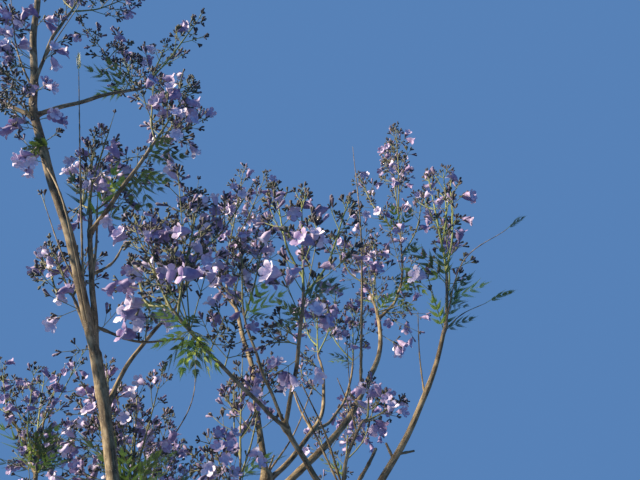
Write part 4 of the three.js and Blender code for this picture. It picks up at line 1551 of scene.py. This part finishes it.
def build_crown(tree):
    for part in CROWN_PARTS:
        prefix = part + "_"
        kinds = Kinds()
        masses = [mass for mass in tree.masses if mass.on.startswith(prefix)]
        for mass in masses:
            rng = np.random.default_rng(MASS_SEED + mass.index)
            look = "green_twig" if rng.random() < GREEN_SHARE else "olive_twig"
            Grower(kinds, rng, look, mass.bloom, mass).dress()
        grow_sprigs(prefix, tree, kinds)
        for name in SIDE_BOUGHS:
            if name.startswith(prefix):
                grow_side_panicles(tree.limbs[name], kinds)
        pieces = (
            kinds.twigs.to_object(f"twigs_{part}"),
            kinds.leaves.to_object(f"leaves_{part}", smooth=False),
            copies_object(f"buds_{part}", kinds, (round_bud, long_bud)),
            copies_object(f"flowers_{part}", kinds, (flower,)),
        )
        for piece in pieces:
            finish_piece(piece, [f"{mass.on}_blossom" for mass in masses])


def copies_object(name, kinds, templates):
    heap = Heap()
    for template in templates:
        for shade in range(3):
            heap.add_copies(template(), kinds.copies.get((template, shade)), shade)
    return heap.to_object(name)


def finish_piece(piece, nodes):
    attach(piece, "root")
    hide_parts(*nodes)


# Materials.

# The parts of a flower that look alike in every flower.
PLAIN_PARTS = ("calyx", "throat")

# A look's two colours, their grain in cycles a metre, roughness, bump and sheen.
LOOKS = {
    "brown_twig": ((0.10, 0.075, 0.05), (0.27, 0.2, 0.12), 130, 0.75, 0.4, 0),
    "olive_twig": ((0.12, 0.125, 0.045), (0.26, 0.255, 0.095), 150, 0.65, 0.3, 0),
    "green_twig": ((0.15, 0.185, 0.045), (0.31, 0.345, 0.1), 150, 0.6, 0.25, 0),
    "bud_0": ((0.02, 0.018, 0.02), (0.075, 0.062, 0.06), 260, 0.7, 0.25, 0.1),
    "bud_1": ((0.035, 0.036, 0.018), (0.145, 0.14, 0.07), 260, 0.7, 0.25, 0.1),
    "bud_2": ((0.03, 0.025, 0.026), (0.125, 0.1, 0.08), 260, 0.7, 0.25, 0.1),
    "long_bud_0": ((0.13, 0.085, 0.15), (0.28, 0.2, 0.32), 200, 0.6, 0.2, 0.3),
    "long_bud_1": ((0.05, 0.035, 0.06), (0.13, 0.09, 0.14), 200, 0.6, 0.2, 0.3),
    "long_bud_2": ((0.2, 0.14, 0.24), (0.38, 0.29, 0.44), 200, 0.6, 0.2, 0.3),
    "calyx": ((0.05, 0.04, 0.04), (0.13, 0.1, 0.09), 300, 0.6, 0.2, 0.2),
    "throat": ((0.52, 0.44, 0.62), (0.72, 0.66, 0.78), 90, 0.6, 0.15, 0.2),
    # Flower tones, dealt by spray: their spread is partly real tone and partly painted light, the palest
    # (tube_2, lobe_2) a painted highlight in part and the deepest (tube_1, lobe_1) painted shade in part.
    "tube_0": ((0.3, 0.205, 0.375), (0.45, 0.34, 0.51), 70, 0.55, 0.15, 0.35),
    "tube_1": ((0.175, 0.112, 0.26), (0.31, 0.225, 0.4), 70, 0.55, 0.15, 0.35),
    "tube_2": ((0.45, 0.345, 0.52), (0.6, 0.49, 0.66), 70, 0.55, 0.15, 0.35),
    "lobe_0": ((0.46, 0.35, 0.52), (0.61, 0.5, 0.66), 60, 0.55, 0.15, 0.35),
    "lobe_1": ((0.29, 0.195, 0.38), (0.44, 0.335, 0.52), 60, 0.55, 0.15, 0.35),
    "lobe_2": ((0.7, 0.6, 0.74), (0.82, 0.74, 0.84), 60, 0.55, 0.15, 0.35),
    "leaf_bright": ((0.24, 0.35, 0.03), (0.46, 0.56, 0.07), 120, 0.5, 0.15, 0.1),
    "leaf_mid": ((0.095, 0.14, 0.026), (0.19, 0.25, 0.05), 120, 0.5, 0.15, 0.1),
    "leaf_deep": ((0.04, 0.078, 0.02), (0.09, 0.14, 0.035), 120, 0.5, 0.15, 0.1),
}


# Where bark's colours stand on its mottle.
BARK_STOPS = (
    (0.36, (0.045, 0.03, 0.014)),
    (0.45, (0.13, 0.092, 0.046)),
    (0.54, (0.27, 0.2, 0.105)),
    (0.66, (0.44, 0.345, 0.2)),
)
STREAK_SCALE = 160
STREAK_STRETCH = 0.22
PATCH_SCALE = 15
BARK_RELIEF = 0.003
BARK_ROUGHNESS = 0.8
BARK_BUMP = 0.7
PORE_SCALE = 110
PORE_STRETCH = 2.2
PORE_COLOUR = (0.5, 0.42, 0.28, 1)
MOTTLE_STOPS = (0.32, 0.68)
MOTTLE_RELIEF = 0.0008
FLOOR_LOOK = ((0.42, 0.42, 0.41), (0.46, 0.46, 0.45), 3, 0.9, 0.05, 0)


def material(name):
    """The material of that name, made when it is first asked for."""
    made = bpy.data.materials.get(name)
    if made:
        return made
    return bark_material(name) if name == "young_bark" else mottled_material(name, *LOOKS[name])


def new_material(name):
    made = bpy.data.materials.new(name)
    made.use_nodes = True
    return made, made.node_tree.nodes


def feed(node, inputs):
    """Sets a node's inputs, a socket by a link and anything else as a constant; gives its outputs."""
    for name, value in inputs.items():
        if isinstance(value, bpy.types.NodeSocket):
            node.id_data.links.new(value, node.inputs[name])
        else:
            node.inputs[name].default_value = value
    return node.outputs


def add_node(nodes, kind, inputs):
    return feed(nodes.new(f"ShaderNode{kind}"), inputs)


def noise_node(nodes, place, scale, detail=4.0, distortion=0.0):
    inputs = {"Vector": place, "Scale": scale, "Detail": detail, "Distortion": distortion}
    return add_node(nodes, "TexNoise", inputs)["Fac"]


def ramp_node(nodes, source, stops):
    """A colour for each place on a source's scale."""
    ramp = nodes.new("ShaderNodeValToRGB")
    elements = ramp.color_ramp.elements
    while len(elements) < len(stops):
        elements.new(0.5)
    for element, (place, colour) in zip(elements, stops):
        element.position = place
        element.color = (*colour, 1)
    return feed(ramp, {"Fac": source})["Color"]


def bump_node(nodes, height, strength, distance):
    return add_node(nodes, "Bump", {"Strength": strength, "Distance": distance, "Height": height})["Normal"]


def mottled_material(name, dark, light, grain, roughness, bump, sheen):
    """Two near colours mixed by a fine noise, with the same noise as a faint relief."""
    made, nodes = new_material(name)
    mottle = noise_node(nodes, add_node(nodes, "TexCoord", {})["Object"], grain)
    surface = {
        "Base Color": ramp_node(nodes, mottle, tuple(zip(MOTTLE_STOPS, (dark, light)))),
        "Roughness": roughness,
        "Sheen Weight": sheen,
        "Normal": bump_node(nodes, mottle, bump, MOTTLE_RELIEF),
    }
    feed(nodes["Principled BSDF"], surface)
    return made


def bark_material(name):
    """Smooth young bark: streaks along the grain, dark patches, pale pores and fine furrows."""
    made, nodes = new_material(name)
    grain = nodes.new("ShaderNodeAttribute")
    grain.attribute_name = "grain"
    place = grain.outputs["Vector"]
    stretched = add_node(nodes, "Mapping", {"Vector": place, "Scale": (1, 1, STREAK_STRETCH)})["Vector"]
    streaks = noise_node(nodes, stretched, STREAK_SCALE, detail=8, distortion=0.4)
    patches = noise_node(nodes, place, PATCH_SCALE, detail=5, distortion=0.6)
    mixed = add_node(nodes, "Mix", {"Factor": 0.5, "A": streaks, "B": patches})["Result"]
    spotted = nodes.new("ShaderNodeMix")
    spotted.data_type = "RGBA"
    # A colour mix has its colours at these places; their names are those of the number mix.
    sources = {"Factor": pore_mask(nodes, place), 6: ramp_node(nodes, mixed, BARK_STOPS), 7: PORE_COLOUR}
    surface = {
        "Base Color": feed(spotted, sources)[2],
        "Roughness": BARK_ROUGHNESS,
        "Normal": bump_node(nodes, mixed, BARK_BUMP, BARK_RELIEF),
    }
    feed(nodes["Principled BSDF"], surface)
    return made


def pore_mask(nodes, place):
    """1 on small lens-shaped pores that lie across the grain, 0 elsewhere."""
    flat = add_node(nodes, "Mapping", {"Vector": place, "Scale": (1, 1, PORE_STRETCH)})["Vector"]
    cells = add_node(nodes, "TexVoronoi", {"Vector": flat, "Scale": PORE_SCALE})["Distance"]
    limits = {"Value": cells, "From Min": 0.1, "From Max": 0.2, "To Min": 1, "To Max": 0}
    return add_node(nodes, "MapRange", limits)["Result"]


# Floor, light and camera.


def build_stage():
    bpy.ops.mesh.primitive_circle_add(
        vertices=96, radius=FLOOR_RADIUS, fill_type="NGON", location=(0, 0, -FLOOR_DROP)
    )
    floor = bpy.context.object
    floor.name = "floor"
    floor.data.materials.append(mottled_material("floor", *FLOOR_LOOK))


def build_light():
    world = bpy.data.worlds.new("studio")
    bpy.context.scene.world = world
    world.use_nodes = True
    feed(world.node_tree.nodes["Background"], {"Color": BACKDROP_COLOUR, "Strength": BACKDROP_STRENGTH})
    light = bpy.data.lights.new("low_warm_light", "SUN")
    light.energy = SUN_STRENGTH
    light.angle = math.radians(SUN_SOFTNESS)
    light.color = SUN_COLOUR
    holder = bpy.data.objects.new("low_warm_light", light)
    holder.rotation_mode = "QUATERNION"
    holder.rotation_quaternion = Vector(SUNWARD).to_track_quat("Z", "Y")
    bpy.context.collection.objects.link(holder)


def build_camera():
    camera = bpy.data.cameras.new("camera")
    camera.sensor_width = SENSOR_WIDTH
    camera.lens = FOCAL_PIXELS / IMAGE_WIDTH * SENSOR_WIDTH
    camera.clip_start = NEAREST_SEEN
    holder = bpy.data.objects.new("camera", camera)
    holder.location = CAMERA_AT
    holder.rotation_euler = (math.radians(90 + CAMERA_PITCH), 0, 0)
    bpy.context.collection.objects.link(holder)
    bpy.context.scene.camera = holder


def build():
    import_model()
    tree = place_tree()
    for mass in tree.masses:
        mass.growth = grow_mass(mass)
    build_bark(tree)
    build_crown(tree)
    build_stage()
    build_light()
    build_camera()
    bpy.context.scene.view_settings.view_transform = "Standard"


build()
